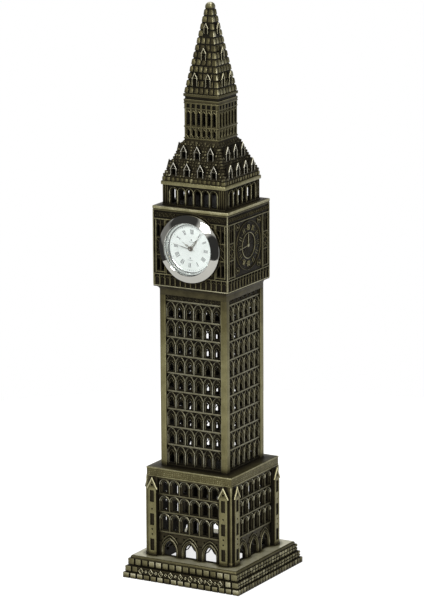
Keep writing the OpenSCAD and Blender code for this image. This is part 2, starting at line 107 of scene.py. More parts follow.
class Shape:
    """Closed bodies as points in mm, faces, and how rubbed bright each point is, from 0 to 1."""

    def __init__(self):
        self.points, self.faces, self.wear, self.count = [], [], [], 0

    def add(self, points, faces, wear):
        points = np.asarray(points, float).reshape(-1, 3)
        start = self.count
        self.faces.extend([i + start for i in f] for f in faces)
        self.points.append(points)
        self.wear.append(np.broadcast_to(np.asarray(wear, float), len(points)))
        self.count += len(points)

    def join(self, other, shift=(0, 0, 0)):
        self.add(np.vstack(other.points) + np.asarray(shift, float), other.faces, np.concatenate(other.wear))

    def moved(self, move):
        """A copy whose points went through move."""
        made = Shape()
        made.add(move(np.vstack(self.points)), self.faces, np.concatenate(self.wear))
        return made


def flat(loop, out):
    """A ring of points from a loop of (across, up)."""
    loop = np.asarray(loop, float)
    return np.column_stack((loop, np.full(len(loop), float(out))))


def loft(shape, rings, wear, loop=False):
    """A body through rings of equal count, closed by its end caps or back onto its first ring."""
    n, k = len(rings[0]), len(rings)
    spans = k if loop else k - 1
    faces = [(a * n + j, a * n + (j + 1) % n, (a + 1) % k * n + (j + 1) % n, (a + 1) % k * n + j)
             for a in range(spans) for j in range(n)]
    if not loop:
        faces += [tuple(range(n))[::-1], tuple(range((k - 1) * n, k * n))]
    wear = np.asarray(wear, float)
    if wear.ndim and len(wear) == k and k != n * k:
        wear = np.repeat(wear, n)
    shape.add(np.vstack(rings), faces, wear)
    return shape


def rect(u0, u1, v0, v1, inset=0.0):
    return np.array([(u0 + inset, v0 + inset), (u1 - inset, v0 + inset), (u1 - inset, v1 - inset),
                     (u0 + inset, v1 - inset)])


def block(shape, u0, u1, v0, v1, w0, w1, soft=0.15, wear=(0.2, 0.8, 1.0, 0.75)):
    """A bar or brick with its front edges rounded by soft."""
    soft = min(soft, (u1 - u0) / 2.2, (v1 - v0) / 2.2, w1 - w0)
    rings = [flat(rect(u0, u1, v0, v1), w0), flat(rect(u0, u1, v0, v1), w1 - soft),
             flat(rect(u0, u1, v0, v1, 0.3 * soft), w1 - 0.3 * soft), flat(rect(u0, u1, v0, v1, soft), w1)]
    loft(shape, rings, wear)


def bar(shape, centre, half, *rest, **more):
    """An upright block of half width half round centre."""
    block(shape, centre - half, centre + half, *rest, **more)


def rounded_square(r, corner, steps=3):
    """A square of half width r in plan with rounded corners."""
    loop = []
    for cx, cy, start in ((1, 1, 0), (-1, 1, 90), (-1, -1, 180), (1, -1, 270)):
        for k in range(steps + 1):
            a = math.radians(start + 90 * k / steps)
            loop.append((cx * (r - corner) + corner * math.cos(a), cy * (r - corner) + corner * math.sin(a)))
    return np.array(loop)


def stack(shape, profile, wear, corner=0.3, centre=(0, 0), loop=False):
    """A square body round the upright line at centre, through (half width, height) steps."""
    rings = []
    for r, z in profile:
        plan = rounded_square(r, min(corner, r * 0.9)) + np.asarray(centre, float)
        rings.append(np.column_stack((plan[:, 0], np.full(len(plan), z), -plan[:, 1])))
    return loft(shape, rings, wear, loop)


def left_normals(path, loop):
    """At each point of a path, the sum of its two stretches' left normals, and one plus their product."""
    ahead = np.roll(path, -1, 0) - path
    if not loop:
        ahead[-1] = path[-1] - path[-2]
    ahead /= np.linalg.norm(ahead, axis=1)[:, None]
    behind = np.roll(ahead, 1, 0)
    if not loop:
        behind[0] = ahead[0]
    na = np.column_stack((-ahead[:, 1], ahead[:, 0]))
    nb = np.column_stack((-behind[:, 1], behind[:, 0]))
    return na + nb, 1 + (na * nb).sum(1)[:, None]


def offset(loop, d):
    """The loop moved to its left by d."""
    both, product = left_normals(loop, True)
    return loop + d * both / product


def signed_area(loop):
    return 0.5 * np.sum(loop[:, 0] * np.roll(loop[:, 1], -1) - np.roll(loop[:, 0], -1) * loop[:, 1])


def plate(shape, outer, holes, w0, w1, soft=0.12, wear=(0.05, 0.3, 0.7, 0.45)):
    """A flat plate from w0 out to w1 with holes, its front edges rounded by soft."""
    loops = [np.asarray(p, float) for p in (outer, *holes)]
    loops = [p if (signed_area(p) > 0) == (k == 0) else p[::-1] for k, p in enumerate(loops)]
    sizes = [len(p) for p in loops]
    starts = np.concatenate(([0], np.cumsum(sizes)[:-1]))
    total = sum(sizes)
    steps = ((0, w0), (0, w1 - soft), (0.3 * soft, w1 - 0.3 * soft), (soft, w1))
    rings = [np.vstack([flat(offset(p, d), w) for p in loops]) for d, w in steps]
    turns = [[int(s + j) for j in range(n)] for s, n in zip(starts, sizes)]
    faces = [(k * total + a, k * total + b, (k + 1) * total + b, (k + 1) * total + a)
             for k in range(len(steps) - 1) for t in turns for a, b in zip(t, t[1:] + t[:1])]
    cut = delaunay_2d_cdt([Vector(p[:2]) for p in rings[-1]], [], turns, 2, 1e-6)
    ids = [orig[0] for orig in cut[3]]
    caps = [[ids[i] for i in f] for f in cut[2]]
    faces += [[i + 3 * total for i in f] for f in caps] + [f[::-1] for f in caps]
    shape.add(np.vstack(rings), faces, np.repeat(wear, total))


def arch(w, side, sharp=POINTED, steps=6, centre=0.0, sill=0.0):
    """The outline of an arch on straight sides, anticlockwise."""
    r, h = w * sharp, w / 2
    end = math.acos((r - h) / r)
    right = [(h - r + r * math.cos(end * k / steps), side + r * math.sin(end * k / steps))
             for k in range(steps + 1)]
    left = [(-x, y) for x, y in right[:-1]][::-1]
    loop = np.array([(-h, 0), (h, 0)] + right[0 if side > 0 else 1:] + left[: None if side > 0 else -1])
    return loop + (centre, sill)


def arch_rise(w, sharp=POINTED):
    r = w * sharp
    return math.sqrt(r * r - (r - w / 2) ** 2)


def arch_line(w, side, sharp=POINTED, steps=6, centre=0.0, sill=0.0):
    """The open line of an arch, from its left foot over to its right foot."""
    loop = arch(w, max(side, 1e-3), sharp, steps, centre, sill)
    return np.vstack((loop[1:], loop[:1]))[::-1]


# A moulding's section, in shares of its half width and height
SECTION = ((-1, -0.3), (-1, 0.2), (-0.62, 0.78), (0, 1), (0.62, 0.78), (1, 0.2), (1, -0.3))


def rib(shape, path, half, w, height, loop=False, wear=(0.15, 0.9)):
    """A rounded moulding of half width half that stands height above w along a flat path."""
    path = np.asarray(path, float)
    both, product = left_normals(path, loop)
    side = both / np.maximum(product, 0.3)
    rings = [np.array([(*(p + s * half * a), w + height * b) for a, b in SECTION])
             for p, s in zip(path, side)]
    shade = [wear[0] + (wear[1] - wear[0]) * max(b, 0) for _, b in SECTION]
    loft(shape, rings, np.tile(shade, len(rings)), loop)


def lozenge(u, v, wide, tall):
    return np.array([(u - wide, v), (u, v - tall), (u + wide, v), (u, v + tall)])


def circle(r, n=48, centre=(0, 0)):
    a = np.linspace(0, 2 * math.pi, n, endpoint=False)
    return np.column_stack((r * np.cos(a), r * np.sin(a))) + centre


def lathe(profile, n=96):
    """A closed (radius, out) profile turned about the clock's axis."""
    turns = np.linspace(0, 2 * math.pi, n, endpoint=False)
    rings = [np.array([(r * math.sin(t), CLOCK_Z + r * math.cos(t), w) for r, w in profile]) for t in turns]
    return loft(Shape(), rings, 0.5, loop=True)


def dome(shape, r, height, w, centre, n=16, rings=4, wear=(0.3, 1.0)):
    """A low rounded boss."""
    loops, shade = [], []
    for k in range(rings + 1):
        t = math.pi / 2 * k / rings * 0.97
        loops.append(flat(circle(r * math.cos(t), n, centre), w + height * math.sin(t)))
        shade.append(wear[0] + (wear[1] - wear[0]) * math.sin(t))
    loft(shape, [flat(circle(r, n, centre), w - 0.2)] + loops, [wear[0]] + shade)


def four_domes(shape, r, height, w, centre, away, n, wear):
    """Four low bosses on the diagonals of centre, away from it by (across, up)."""
    for degrees in (45, 135, 225, 315):
        a = math.radians(degrees)
        at = (centre[0] + away[0] * math.cos(a), centre[1] + away[1] * math.sin(a))
        dome(shape, r, height, w, at, n, 2, wear=wear)


def ray(a):
    """The direction at the angle a clockwise from straight up."""
    return np.array((math.sin(a), math.cos(a)))


def turn_points(points, side):
    """The same points on another side of the tower."""
    c, s = TURNS[side]
    x, y = points[:, 0], -points[:, 2]
    return np.column_stack((c * x - s * y, points[:, 1], -(s * x + c * y)))


def turned(shape, side):
    return shape.moved(lambda points: turn_points(points, side))


def on_all_sides(shape, drawing):
    for side in range(4):
        shape.join(turned(drawing, side))


def mitred(shape, short=0.0):
    """The shape cut back to the tower's diagonals at both ends, or short of them."""
    def cut(points):
        end = points[:, 2] - short
        points[:, 0] = np.clip(points[:, 0], -end, end)
        return points
    return shape.moved(cut)


# ---- Materials ----

def feed(tree, made, inputs):
    """Sets or links a shader node's inputs, given by name or number."""
    for key, value in inputs.items():
        if isinstance(value, bpy.types.NodeSocket):
            tree.links.new(value, made.inputs[key])
        else:
            made.inputs[key].default_value = value


def node(tree, kind, inputs=None, **settings):
    made = tree.nodes.new(kind)
    for key, value in settings.items():
        setattr(made, key, value)
    feed(tree, made, inputs or {})
    return made


def material(name, kind="ShaderNodeBsdfPrincipled"):
    """An empty material whose surface is a shader of the kind."""
    made = bpy.data.materials.new(name)
    made.use_nodes = True
    tree = made.node_tree
    tree.nodes.clear()
    shader = node(tree, kind)
    node(tree, "ShaderNodeOutputMaterial", {0: shader.outputs[0]})
    return made, tree, shader


def object_place(tree):
    return node(tree, "ShaderNodeTexCoord").outputs["Object"]


def noise(tree, scale, detail=3.0):
    inputs = {"Vector": object_place(tree), "Scale": scale, "Detail": detail, "Roughness": 0.55}
    return node(tree, "ShaderNodeTexNoise", inputs).outputs["Fac"]


def math_node(tree, operation, a, b, clamp=False):
    return node(tree, "ShaderNodeMath", {0: a, 1: b}, operation=operation, use_clamp=clamp).outputs[0]


def ramp(tree, factor, stops):
    made = node(tree, "ShaderNodeValToRGB", {0: factor})
    elements = made.color_ramp.elements
    while len(elements) < len(stops):
        elements.new(0.5)
    for element, (at, colour) in zip(elements, stops):
        element.position, element.color = at, (*colour, 1)
    return made.outputs[0]


def spread(tree, factor, low, high):
    return node(tree, "ShaderNodeMapRange", {"Value": factor, "To Min": low, "To Max": high}).outputs[0]


def bump(tree, height, strength, distance):
    inputs = {"Height": height, "Strength": strength, "Distance": distance}
    return node(tree, "ShaderNodeBump", inputs).outputs[0]


# The bronze from the hollows to the rubbed edges, as (wear, colour)
PATINA = ((0.0, (0.006, 0.005, 0.003)), (0.3, (0.022, 0.018, 0.009)), (0.6, (0.084, 0.074, 0.032)),
          (0.85, (0.195, 0.180, 0.090)), (1.0, (0.40, 0.375, 0.235)))
HOLLOW = 0.0022  # how far the ambient occlusion reaches, in metres: corners within it stay dark, as patina and as painted shade


def bronze(name, bright=0.0, mottle=0.1, stipple=0.12, dull=0.62, shiny=0.36, grey=0.2, metallic=0.85):
    """Antique bronze: a black-brown patina in the hollows, rubbed to olive gold where it stands out. The
    ambient occlusion that darkens the hollows also paints shade into the corners.
    """
    made, tree, shader = material(name)
    worn = node(tree, "ShaderNodeAttribute", attribute_name="wear").outputs["Fac"]
    # Ambient occlusion darkens the bronze in its corners: the patina that settles there, and painted shade
    hollow = node(tree, "ShaderNodeAmbientOcclusion", {"Distance": HOLLOW}, samples=8).outputs["AO"]
    blotch, grain = noise(tree, 260, 4), noise(tree, 2300)
    factor = math_node(tree, "MULTIPLY", worn, math_node(tree, "POWER", hollow, 1.3))
    factor = math_node(tree, "ADD", factor, spread(tree, blotch, bright - 0.14, bright + 0.14))
    factor = math_node(tree, "ADD", factor, spread(tree, grain, -mottle, mottle), clamp=True)
    stops = [(at, tuple(c + (rgb[0] - c) * grey * at ** 3 for c in rgb)) for at, rgb in PATINA]
    feed(tree, shader, {
        "Base Color": ramp(tree, factor, stops), "Metallic": metallic, "Specular IOR Level": 0.25,
        "Roughness": spread(tree, factor, dull, shiny),
        "Normal": bump(tree, noise(tree, 1500), stipple, 0.0002)})
    return made


def metal(name, colour, rough, scale=900, depth=0.04, metallic=1.0):
    """A plain machined metal with a fine grain and slight stains."""
    made, tree, shader = material(name)
    low = tuple(c * 0.86 for c in colour)
    feed(tree, shader, {
        "Base Color": ramp(tree, noise(tree, scale / 6), ((0.3, low), (0.7, colour))), "Metallic": metallic,
        "Roughness": spread(tree, noise(tree, scale, 2), rough * 0.8, rough * 1.25),
        "Normal": bump(tree, noise(tree, scale * 2, 2), depth, 0.0001)})
    return made


def plastic(name, colour, rough, depth=0.05, scale=1200):
    """Moulded plastic, rubber or paint with a fine texture."""
    return metal(name, colour, rough, scale, depth, metallic=0.0)


def brushed(name, colour, rough=0.3):
    """Steel brushed round the clock's axis."""
    made, tree, shader = material(name)
    inputs = {0: object_place(tree), 1: (0, 0, CLOCK_Z / MM)}
    move = node(tree, "ShaderNodeVectorMath", inputs, operation="SUBTRACT")
    length = node(tree, "ShaderNodeVectorMath", {0: move.outputs[0]}, operation="LENGTH")
    inputs = {"W": length.outputs["Value"], "Scale": 9000}
    rings = node(tree, "ShaderNodeTexNoise", inputs, noise_dimensions="1D").outputs["Fac"]
    low = tuple(c * 0.8 for c in colour)
    feed(tree, shader, {
        "Base Color": ramp(tree, rings, ((0.35, low), (0.65, colour))), "Metallic": 1.0,
        "Roughness": spread(tree, rings, rough, rough + 0.15), "Normal": bump(tree, rings, 0.08, 0.0001)})
    return made


def crystal_glass():
    """Clear crystal: what lies behind shows unbent, under a mirror sheen that grows towards the edge."""
    made, tree, mix = material("clear_crystal", "ShaderNodeMixShader")
    clear = node(tree, "ShaderNodeBsdfTransparent", {0: (0.97, 0.985, 0.98, 1)})
    gloss = node(tree, "ShaderNodeBsdfGlossy", {"Roughness": spread(tree, noise(tree, 300, 2), 0.01, 0.04)})
    fresnel = node(tree, "ShaderNodeFresnel", {"IOR": 1.5})
    feed(tree, mix, {0: fresnel.outputs[0], 1: clear.outputs[0], 2: gloss.outputs[0]})
    return made


BRONZE = bronze("antique_bronze", bright=-0.02)
DUSTY = bronze("antique_bronze_dusty", bright=-0.02, grey=0.6)
GOLDEN = bronze("antique_bronze_golden", bright=-0.02, grey=0.0)
HAMMERED = bronze("antique_bronze_hammered", bright=0.05, mottle=0.22, stipple=0.5, grey=0.05)
SMOOTH = bronze("antique_bronze_smooth", mottle=0.05, stipple=0.05, dull=0.4, shiny=0.28, metallic=0.55)
CHROME = metal("polished_chrome", (0.40, 0.395, 0.36), 0.035, 400, 0.004)
SILVER = metal("silver_ring", (0.84, 0.85, 0.83), 0.24, 700, 0.02)
DIAL_PAINT = plastic("dial_paint", (0.90, 0.91, 0.89), 0.35, 0.01)
INK = plastic("dial_ink", (0.03, 0.032, 0.035), 0.5, 0.01)
LUME = plastic("pale_lume", (0.72, 0.74, 0.68), 0.5, 0.02)
HAND_METAL = metal("hand_metal", (0.16, 0.125, 0.08), 0.3, 1500, 0.02)
CRYSTAL = crystal_glass()
RUBBER = plastic("black_rubber", (0.02, 0.02, 0.021), 0.6, 0.2)
STEEL = metal("zinc_plated_steel", (0.62, 0.62, 0.6), 0.3)
BRUSHED = brushed("brushed_steel", (0.66, 0.67, 0.69))
GILT = metal("gilt_brass", (0.83, 0.62, 0.27), 0.25)
COPPER = metal("copper_winding", (0.72, 0.30, 0.13), 0.3)
WHITE = plastic("white_moulding", (0.78, 0.78, 0.75), 0.45)
BOARD = plastic("green_board", (0.03, 0.22, 0.09), 0.35)


# ---- Pieces ----

WALL_GAP = 0.02  # each wall's end stops this short of its mitre
SMOOTH_TO = 38  # edges up to this many degrees are shaded smooth


def place(points, side):
    """(across, up, out) in mm on a side, as metres in the frame."""
    x, z, out = turn_points(points, side).T
    return np.column_stack((x, -out, z)) / MM


def add_object(name, data, at=(0, 0, 0), turn=None):
    made = bpy.data.objects.new(name, data)
    made.location = at
    if turn is not None:
        made.rotation_mode = "QUATERNION"
        made.rotation_quaternion = turn
    bpy.context.scene.collection.objects.link(made)
    return made


def piece(name, shape, paint, nodes=(), side=0, body=TOWER, smooth=SMOOTH_TO):
    """One finished piece, riding on its body and standing for its CAD nodes."""
    mesh = bpy.data.meshes.new(name)
    mesh.from_pydata(place(np.vstack(shape.points), side).tolist(), [], shape.faces)
    worn = mesh.attributes.new("wear", "FLOAT", "POINT")
    worn.data.foreach_set("value", np.concatenate(shape.wear).astype(np.float32))
    edit = bmesh.new()
    edit.from_mesh(mesh)
    bmesh.ops.recalc_face_normals(edit, faces=edit.faces)
    edit.to_mesh(mesh)
    edit.free()
    mesh.shade_smooth()
    mesh.set_sharp_from_angle(angle=math.radians(smooth))
    mesh.materials.append(paint)
    made = add_object(name, mesh)
    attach(made, body)
    if nodes:
        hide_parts(*nodes)


def cast(name, shape, paint=BRONZE, side=0):
    """A casting that stands for the CAD node of its name."""
    piece(f"cast_{name}", shape, paint, (name,), side)


def on_four_sides(name, draw, paint=BRONZE, mitre=False):
    """The same wall on each side of the tower, drawn by draw(side)."""
    for side, word in enumerate(SIDES):
        shape = draw(side)
        cast(f"{name}_{word}", mitred(shape, WALL_GAP) if mitre else shape, paint, side)


def on_four_corners(name, shape, paint):
    for side, word in enumerate(CORNERS):
        cast(f"{name}_{word}", turned(shape, side), paint)


def columns(n, pitch):
    return [(k - (n - 1) / 2) * pitch for k in range(n)]


# ---- Plinth ----

COURSES = ((0.0, 0.02, 2.5), (0.7, 2.85, 5.2), (1.6, 5.6, 8.3))  # inset, foot, top of each brick course
BRICK, SMALL_BRICK = 3.17, 2.3
WALL, WELL_R = 1.5, 18.2
BAND_HALF, BAND_FOOT, BAND_TOP = 20.5, 2.6, 5.3
SHORTEST = 0.4  # shorter ends of a cut brick or bar are left out


def outside(u0, u1, gaps):
    """What is left of a span once the gaps are taken out."""
    spans = [(u0, u1)]
    for g0, g1 in gaps:
        cut = [(a, b) for s0, s1 in spans for a, b in ((s0, min(s1, g0)), (max(s0, g1), s1))]
        spans = [(a, b) for a, b in cut if b - a > SHORTEST]
    return spans


def brick_course(shape, r, z0, z1, pitch, deep, gap=0.3, soft=0.4, batter=0.0, bright=1.0, sides=range(4),
                 gaps=()):
    """Cushion bricks round a square of half width r at z0, leaning in by batter, mitred at the corners and
    cut back from the gaps."""
    n = max(round(2 * r / pitch), 2)
    step = 2 * r / n
    for side in sides:
        wall = Shape()
        for k in range(n):
            shade = bright * RNG.uniform(0.6, 1.0)
            left, right = (gap / 2 if k else 0), (gap / 2 if k < n - 1 else 0)
            for u0, u1 in outside(-r + k * step + left, -r + (k + 1) * step - right, gaps):
                block(wall, u0, u1, z0, z1, r - deep, r, soft,
                      wear=(0.0, 0.5 * shade, 0.95 * shade, 0.78 * shade))
        for points in wall.points:
            points[:, 2] -= (points[:, 1] - z0) * batter
        shape.join(turned(mitred(wall), side))


def draw_plinth():
    """The stepped plinth: an open hollow shell under a deck with a square well, faced with bricks."""
    shape, r, z = Shape(), PLINTH_R, PODIUM_Z
    deck = z - WALL
    outer = [(r - 0.9, 0), (r - 0.9, 2.7), (r - 1.5, 2.75), (r - 1.5, 5.4), (r - 2.4, 5.45),
             (r - 2.4, z - 0.9), (r - 2.5, z - 0.4), (r - 2.9, z - 0.05)]
    inner = [(WELL_R, z - 0.05), (WELL_R, deck), (24.6, deck), (24.6, 3.9), (25.5, 3.9), (25.5, 0.9),
             (26.2, 0.9), (26.2, 0)]
    stack(shape, outer + inner, [0.05, 0.2, 0.4, 0.3, 0.4, 0.5, 0.7, 0.5, 0.3] + [0.1] * 7, loop=True)
    lugs = Shape()
    for u in (-4.8, 4.8):
        bar(lugs, u, 2.3, deck, z, WELL_R - 0.9, WELL_R + 1.5, 0.1, wear=(0.1, 0.2, 0.3, 0.2))
    for side, (sx, sy) in enumerate(DIAGONALS):
        shape.join(turned(lugs, side))
        boss = circle(3.0, 24, (sx * 17.1, sy * 17.1))
        loft(shape, [np.column_stack((boss[:, 0], np.full(24, h), boss[:, 1])) for h in (deck, z - 0.01)],
             0.2)
    # One row of large bricks a course on the front, two rows of small ones on the upper courses of the rest
    for k, (inset, z0, z1) in enumerate(COURSES):
        band = [(-BAND_HALF - 0.3, BAND_HALF + 0.3)] if k == 1 else ()
        brick_course(shape, r - inset, z0, z1, BRICK, 1.3, 0.6, 0.6, bright=1.25, sides=(FRONT,), gaps=band)
        mid = (z0 + z1) / 2
        rows = ((z0, mid - 0.1), (mid + 0.1, z1)) if k else ((z0, z1),)
        for v0, v1 in rows:
            brick_course(shape, r - inset, v0, v1, SMALL_BRICK, 1.3, 0.45, 0.4, bright=1.1,
                         sides=(RIGHT, BACK, LEFT))
    # The ornamental band in the middle of the front: lozenges on a plain ground
    block(shape, -BAND_HALF, BAND_HALF, BAND_FOOT, BAND_TOP, r - 2.2, r - 0.45, 0.3,
          wear=(0.05, 0.3, 0.5, 0.25))
    mid = (BAND_FOOT + BAND_TOP) / 2
    for k, u in enumerate(columns(17, 2.36)):
        size = 1.25 if k % 2 == 0 else 0.6
        rib(shape, lozenge(u, mid, size * 0.85, size), 0.22, r - 0.5, 0.46, loop=True, wear=(0.3, 1.15))
        dome(shape, size * 0.3, 0.4, r - 0.48, (u, mid), 10, 3, wear=(0.3, 1.0))
    return shape


# ---- Podium ----

STOREYS = (10.5, 19.0, 26.6)  # lower edges of the upper storeys, above the plinth
STOREY_H = (8.5, 7.6, 7.1)
BAY = 4.75
GREAT_BAY = 9.6
CORNER_ARM = 5.4
PANEL_OUT = PODIUM_R - 0.6
PILASTER_X = PODIUM_R - 3.45
PILASTER_HALF = 1.9
GABLE = 4.5


def draw_plinth_deck():
    """The smooth top of the plinth round the podium."""
    outer, inner, z = PLINTH_R - 3.1, WELL_R + 0.1, PODIUM_Z
    return stack(Shape(), [(outer, z - 0.3), (outer, z), (inner, z), (inner, z - 0.3)], 0.97, loop=True)


def draw_podium_wall(_side):
    shape = Shape()
    half = PODIUM_R - CORNER_ARM - 0.02
    ground = PANEL_OUT - 0.75
    holes = [arch(2.75, h - 3.6, ROUND, 7, u, PODIUM_Z + z + 0.7) for z, h in zip(STOREYS, STOREY_H)
             for u in columns(6, BAY)]
    holes += [arch(5.6, 2.3, POINTED, 8, u, PODIUM_Z + 0.25) for u in columns(3, GREAT_BAY)]
    holes += [circle(0.42, 10, (u + s * 3.0, PODIUM_Z + 8.1)) for u in columns(3, GREAT_BAY)
              for s in (-1, 1)]
    plate(shape, rect(-half, half, PODIUM_Z, PODIUM_TOP), holes, ground - 1.3, ground, 0.12,
          wear=(0.08, 0.25, 0.6, 0.38))
    for z, h in zip(STOREYS, STOREY_H):
        sill = PODIUM_Z + z
        block(shape, -half, half, sill - 0.34, sill + 0.34, ground - ROOT, PANEL_OUT, 0.25,
              wear=(0.1, 0.4, 0.75, 0.6))
        for u in columns(7, BAY):
            bar(shape, u, 0.3, sill + 0.25, sill + h - 2.3, ground - ROOT, PANEL_OUT - 0.1, 0.24,
                wear=(0.05, 0.4, 0.75, 0.55))
        for u in columns(6, BAY):
            rib(shape, arch_line(BAY - 0.1, 0.02, 0.5, 8, u, sill + h - 3.0), 0.34, ground, 0.7,
                wear=(0.15, 1.0))
            # The cusped inner arch
            rib(shape, arch_line(BAY - 1.3, 0.02, 0.55, 7, u, sill + h - 3.15), 0.22, ground, 0.4,
                wear=(0.1, 0.85))
            for s in (-1, 1):
                rib(shape, [(u + s * 1.35, sill + h - 2.6), (u + s * 0.55, sill + h - 2.15),
                            (u + s * 0.1, sill + h - 1.3)], 0.16, ground - 0.5, 0.6, wear=(0.05, 0.6))
    block(shape, -half, half, PODIUM_TOP - 0.6, PODIUM_TOP, ground - ROOT, PANEL_OUT, 0.2,
          wear=(0.1, 0.4, 0.7, 0.5))
    for u in columns(3, GREAT_BAY):
        for w, lift, out, bright in ((7.2, 0.0, 0.75, 0.85), (6.2, 0.0, 0.4, 0.7), (8.7, 0.15, 0.4, 0.75)):
            rib(shape, arch_line(w, 2.6 + lift, POINTED, 9, u, PODIUM_Z), 0.34, ground, out,
                wear=(0.1, bright))
        for s in (-1, 1):
            rib(shape, [(u + s * 2.8, PODIUM_Z + 3.4), (u + s * 1.6, PODIUM_Z + 4.1), (u, PODIUM_Z + 6.3)],
                0.2, ground - 0.9, 0.7, wear=(0.05, 0.4))
    for u in columns(4, GREAT_BAY):
        left, right = max(-half, u - 1.1), min(half, u + 1.1)
        for v0, v1, out in ((0, 5.4, 0.25), (5.3, 5.9, 0.1)):
            block(shape, left, right, PODIUM_Z + v0, PODIUM_Z + v1, ground - ROOT, PANEL_OUT - out, 0.2,
                  wear=(0.05, 0.2, 0.45, 0.3))
    return shape


def draw_pilaster(shape, centre):
    """A gabled pilaster with three slot windows and small round holes between them."""
    z0, eaves = PODIUM_Z, PODIUM_TOP - GABLE
    face = PILASTER_OUT - 0.15
    slots = [(2.2, 5.0), (13.1, 5.0), (23.1, 5.0)]
    holes = [rect(centre - 0.95, centre + 0.95, z0 + z, z0 + z + h) for z, h in slots]
    holes += [circle(0.36, 12, (centre, z0 + z)) for z in (9.2, 11.4, 20.1)]
    outer = rect(centre - PILASTER_HALF, centre + PILASTER_HALF, z0, eaves + 0.2)
    plate(shape, outer, holes, PODIUM_R - 0.3, face, 0.15, wear=(0.02, 0.4, 0.9, 0.72))
    bar(shape, centre, 1.2, z0 + 1.8, z0 + 28.6, PODIUM_R - 0.4, face - 0.45, 0.1, wear=(0, 0.1, 0.2, 0.25))
    gable = np.array([(centre - 2.1, eaves), (centre + 2.1, eaves), (centre, PODIUM_TOP - 0.5)])
    plate(shape, gable, [circle(0.5, 12, (centre, eaves + 1.25))], PODIUM_R - 0.3, face, 0.15,
          wear=(0.02, 0.4, 0.8, 0.55))
    rib(shape, [(centre - 2.35, eaves - 0.5), (centre, PODIUM_TOP - 0.45), (centre + 2.35, eaves - 0.5)],
        0.36, face - 0.25, 0.4, wear=(0.3, 1.2))
    bar(shape, centre, 2.05, z0, z0 + 0.8, PODIUM_R - 0.3, PILASTER_OUT, 0.2, wear=(0.1, 0.4, 0.7, 0.5))


def draw_podium_corner():
    shape, left, right = Shape(), Shape(), Shape()
    inner = PODIUM_R - CORNER_ARM + 0.03
    for arm, u0, u1, centre in ((left, inner, PODIUM_R - 0.9, PILASTER_X),
                                (right, 0.9 - PODIUM_R, -inner, -PILASTER_X)):
        block(arm, u0, u1, PODIUM_Z, PODIUM_TOP, PODIUM_R - 2, PODIUM_R - 0.25, 0.15,
              wear=(0.05, 0.2, 0.4, 0.25))
        draw_pilaster(arm, centre)
    shape.join(left)
    shape.join(turned(right, 1))
    # The edge between the two pilasters, with a bead down it
    at = PODIUM_R - 1.1
    stack(shape, [(1.0, PODIUM_Z), (1.0, PODIUM_TOP)], [0.4, 0.5], centre=(at, -at))
    stack(shape, [(0.36, PODIUM_Z), (0.36, PODIUM_TOP)], [0.65, 0.9], corner=0.2,
          centre=(PODIUM_R - 0.45, -(PODIUM_R - 0.45)))
    stack(shape, [(1.3, PODIUM_Z), (1.25, PODIUM_Z + 1.4), (1.0, PODIUM_Z + 1.8)], [0.4, 0.7, 0.5],
          centre=(at - 0.1, -at + 0.1))
    return shape


def draw_podium_cornice():
    """The cornice slab, with a low relief of beads between two fillets round its face."""
    shape = Shape()
    z0, z1, r = PODIUM_TOP, SHAFT_Z, CORNICE_R
    face = r - 0.12
    profile = [(r - 0.4, z0), (r - 0.08, z0 + 0.12), (r, z0 + 0.3), (r, z0 + 0.6), (face, z0 + 0.75),
               (face, z1 - 0.75), (r, z1 - 0.6), (r, z1 - 0.25), (r - 0.06, z1 - 0.08), (r - 0.35, z1),
               (SHAFT_R - 0.5, z1)]
    stack(shape, profile, [0.3, 0.75, 0.72, 0.7, 0.5, 0.5, 0.7, 0.75, 0.9, 0.45, 0.15])
    beads = Shape()
    for row in range(3):
        for u in columns(38, 1.02):
            size = RNG.uniform(0.2, 0.4)
            dome(beads, size, 0.12, face, (u + RNG.uniform(-0.2, 0.2), z0 + 1.15 + row * 0.85), 6, 1,
                 wear=(0.5, 0.5 + size))
    on_all_sides(shape, beads)
    return shape


# ---- Shaft ----

POST = 2.7
SHAFT_FACE = SHAFT_R - 0.5
FRIEZE, SILL, ROWS = 2.3, 1.7, 9
ROW = (SHAFT_TOP - SHAFT_Z - FRIEZE - SILL) / ROWS
COLUMN = 4.35
SHORT_ROWS = (1, 4)  # rows of the back wall, from the top, whose openings are shorter


def shaft_cell(foot_z, head_z):
    """One pierced bay between two bands, drawn about across = 0: mullion branches and pointed arches."""
    shape = Shape()
    ground = SHAFT_FACE - 0.55
    outer_w, inner_w = COLUMN - 0.02, COLUMN - 1.6
    outer_spring = head_z - 0.1 - arch_rise(outer_w)
    inner_spring = head_z - 1.9 - arch_rise(inner_w, 0.9)
    rib(shape, arch_line(outer_w, 0.02, POINTED, 8, 0, outer_spring), 0.22, ground, 0.52, wear=(0.1, 1.0))
    rib(shape, arch_line(inner_w, inner_spring - foot_z - 0.3, 0.9, 8, 0, foot_z + 0.3), 0.16, ground, 0.36,
        wear=(0.05, 0.85))
    # The branches that cross behind the outer arch, and a cusp under the inner one
    for s in (-1, 1):
        rib(shape, [(s * 2.1, head_z - 3.4), (s * 1.3, head_z - 1.7), (s * 0.95, head_z - 0.1)], 0.16,
            ground, 0.42, wear=(0.05, 0.85))
        rib(shape, [(s * 1.35, inner_spring - 0.6), (s * 0.7, inner_spring + 0.1),
                    (s * 0.1, inner_spring + 1.5)], 0.14, ground - 0.45, 0.55, wear=(0.05, 0.85))
    return shape


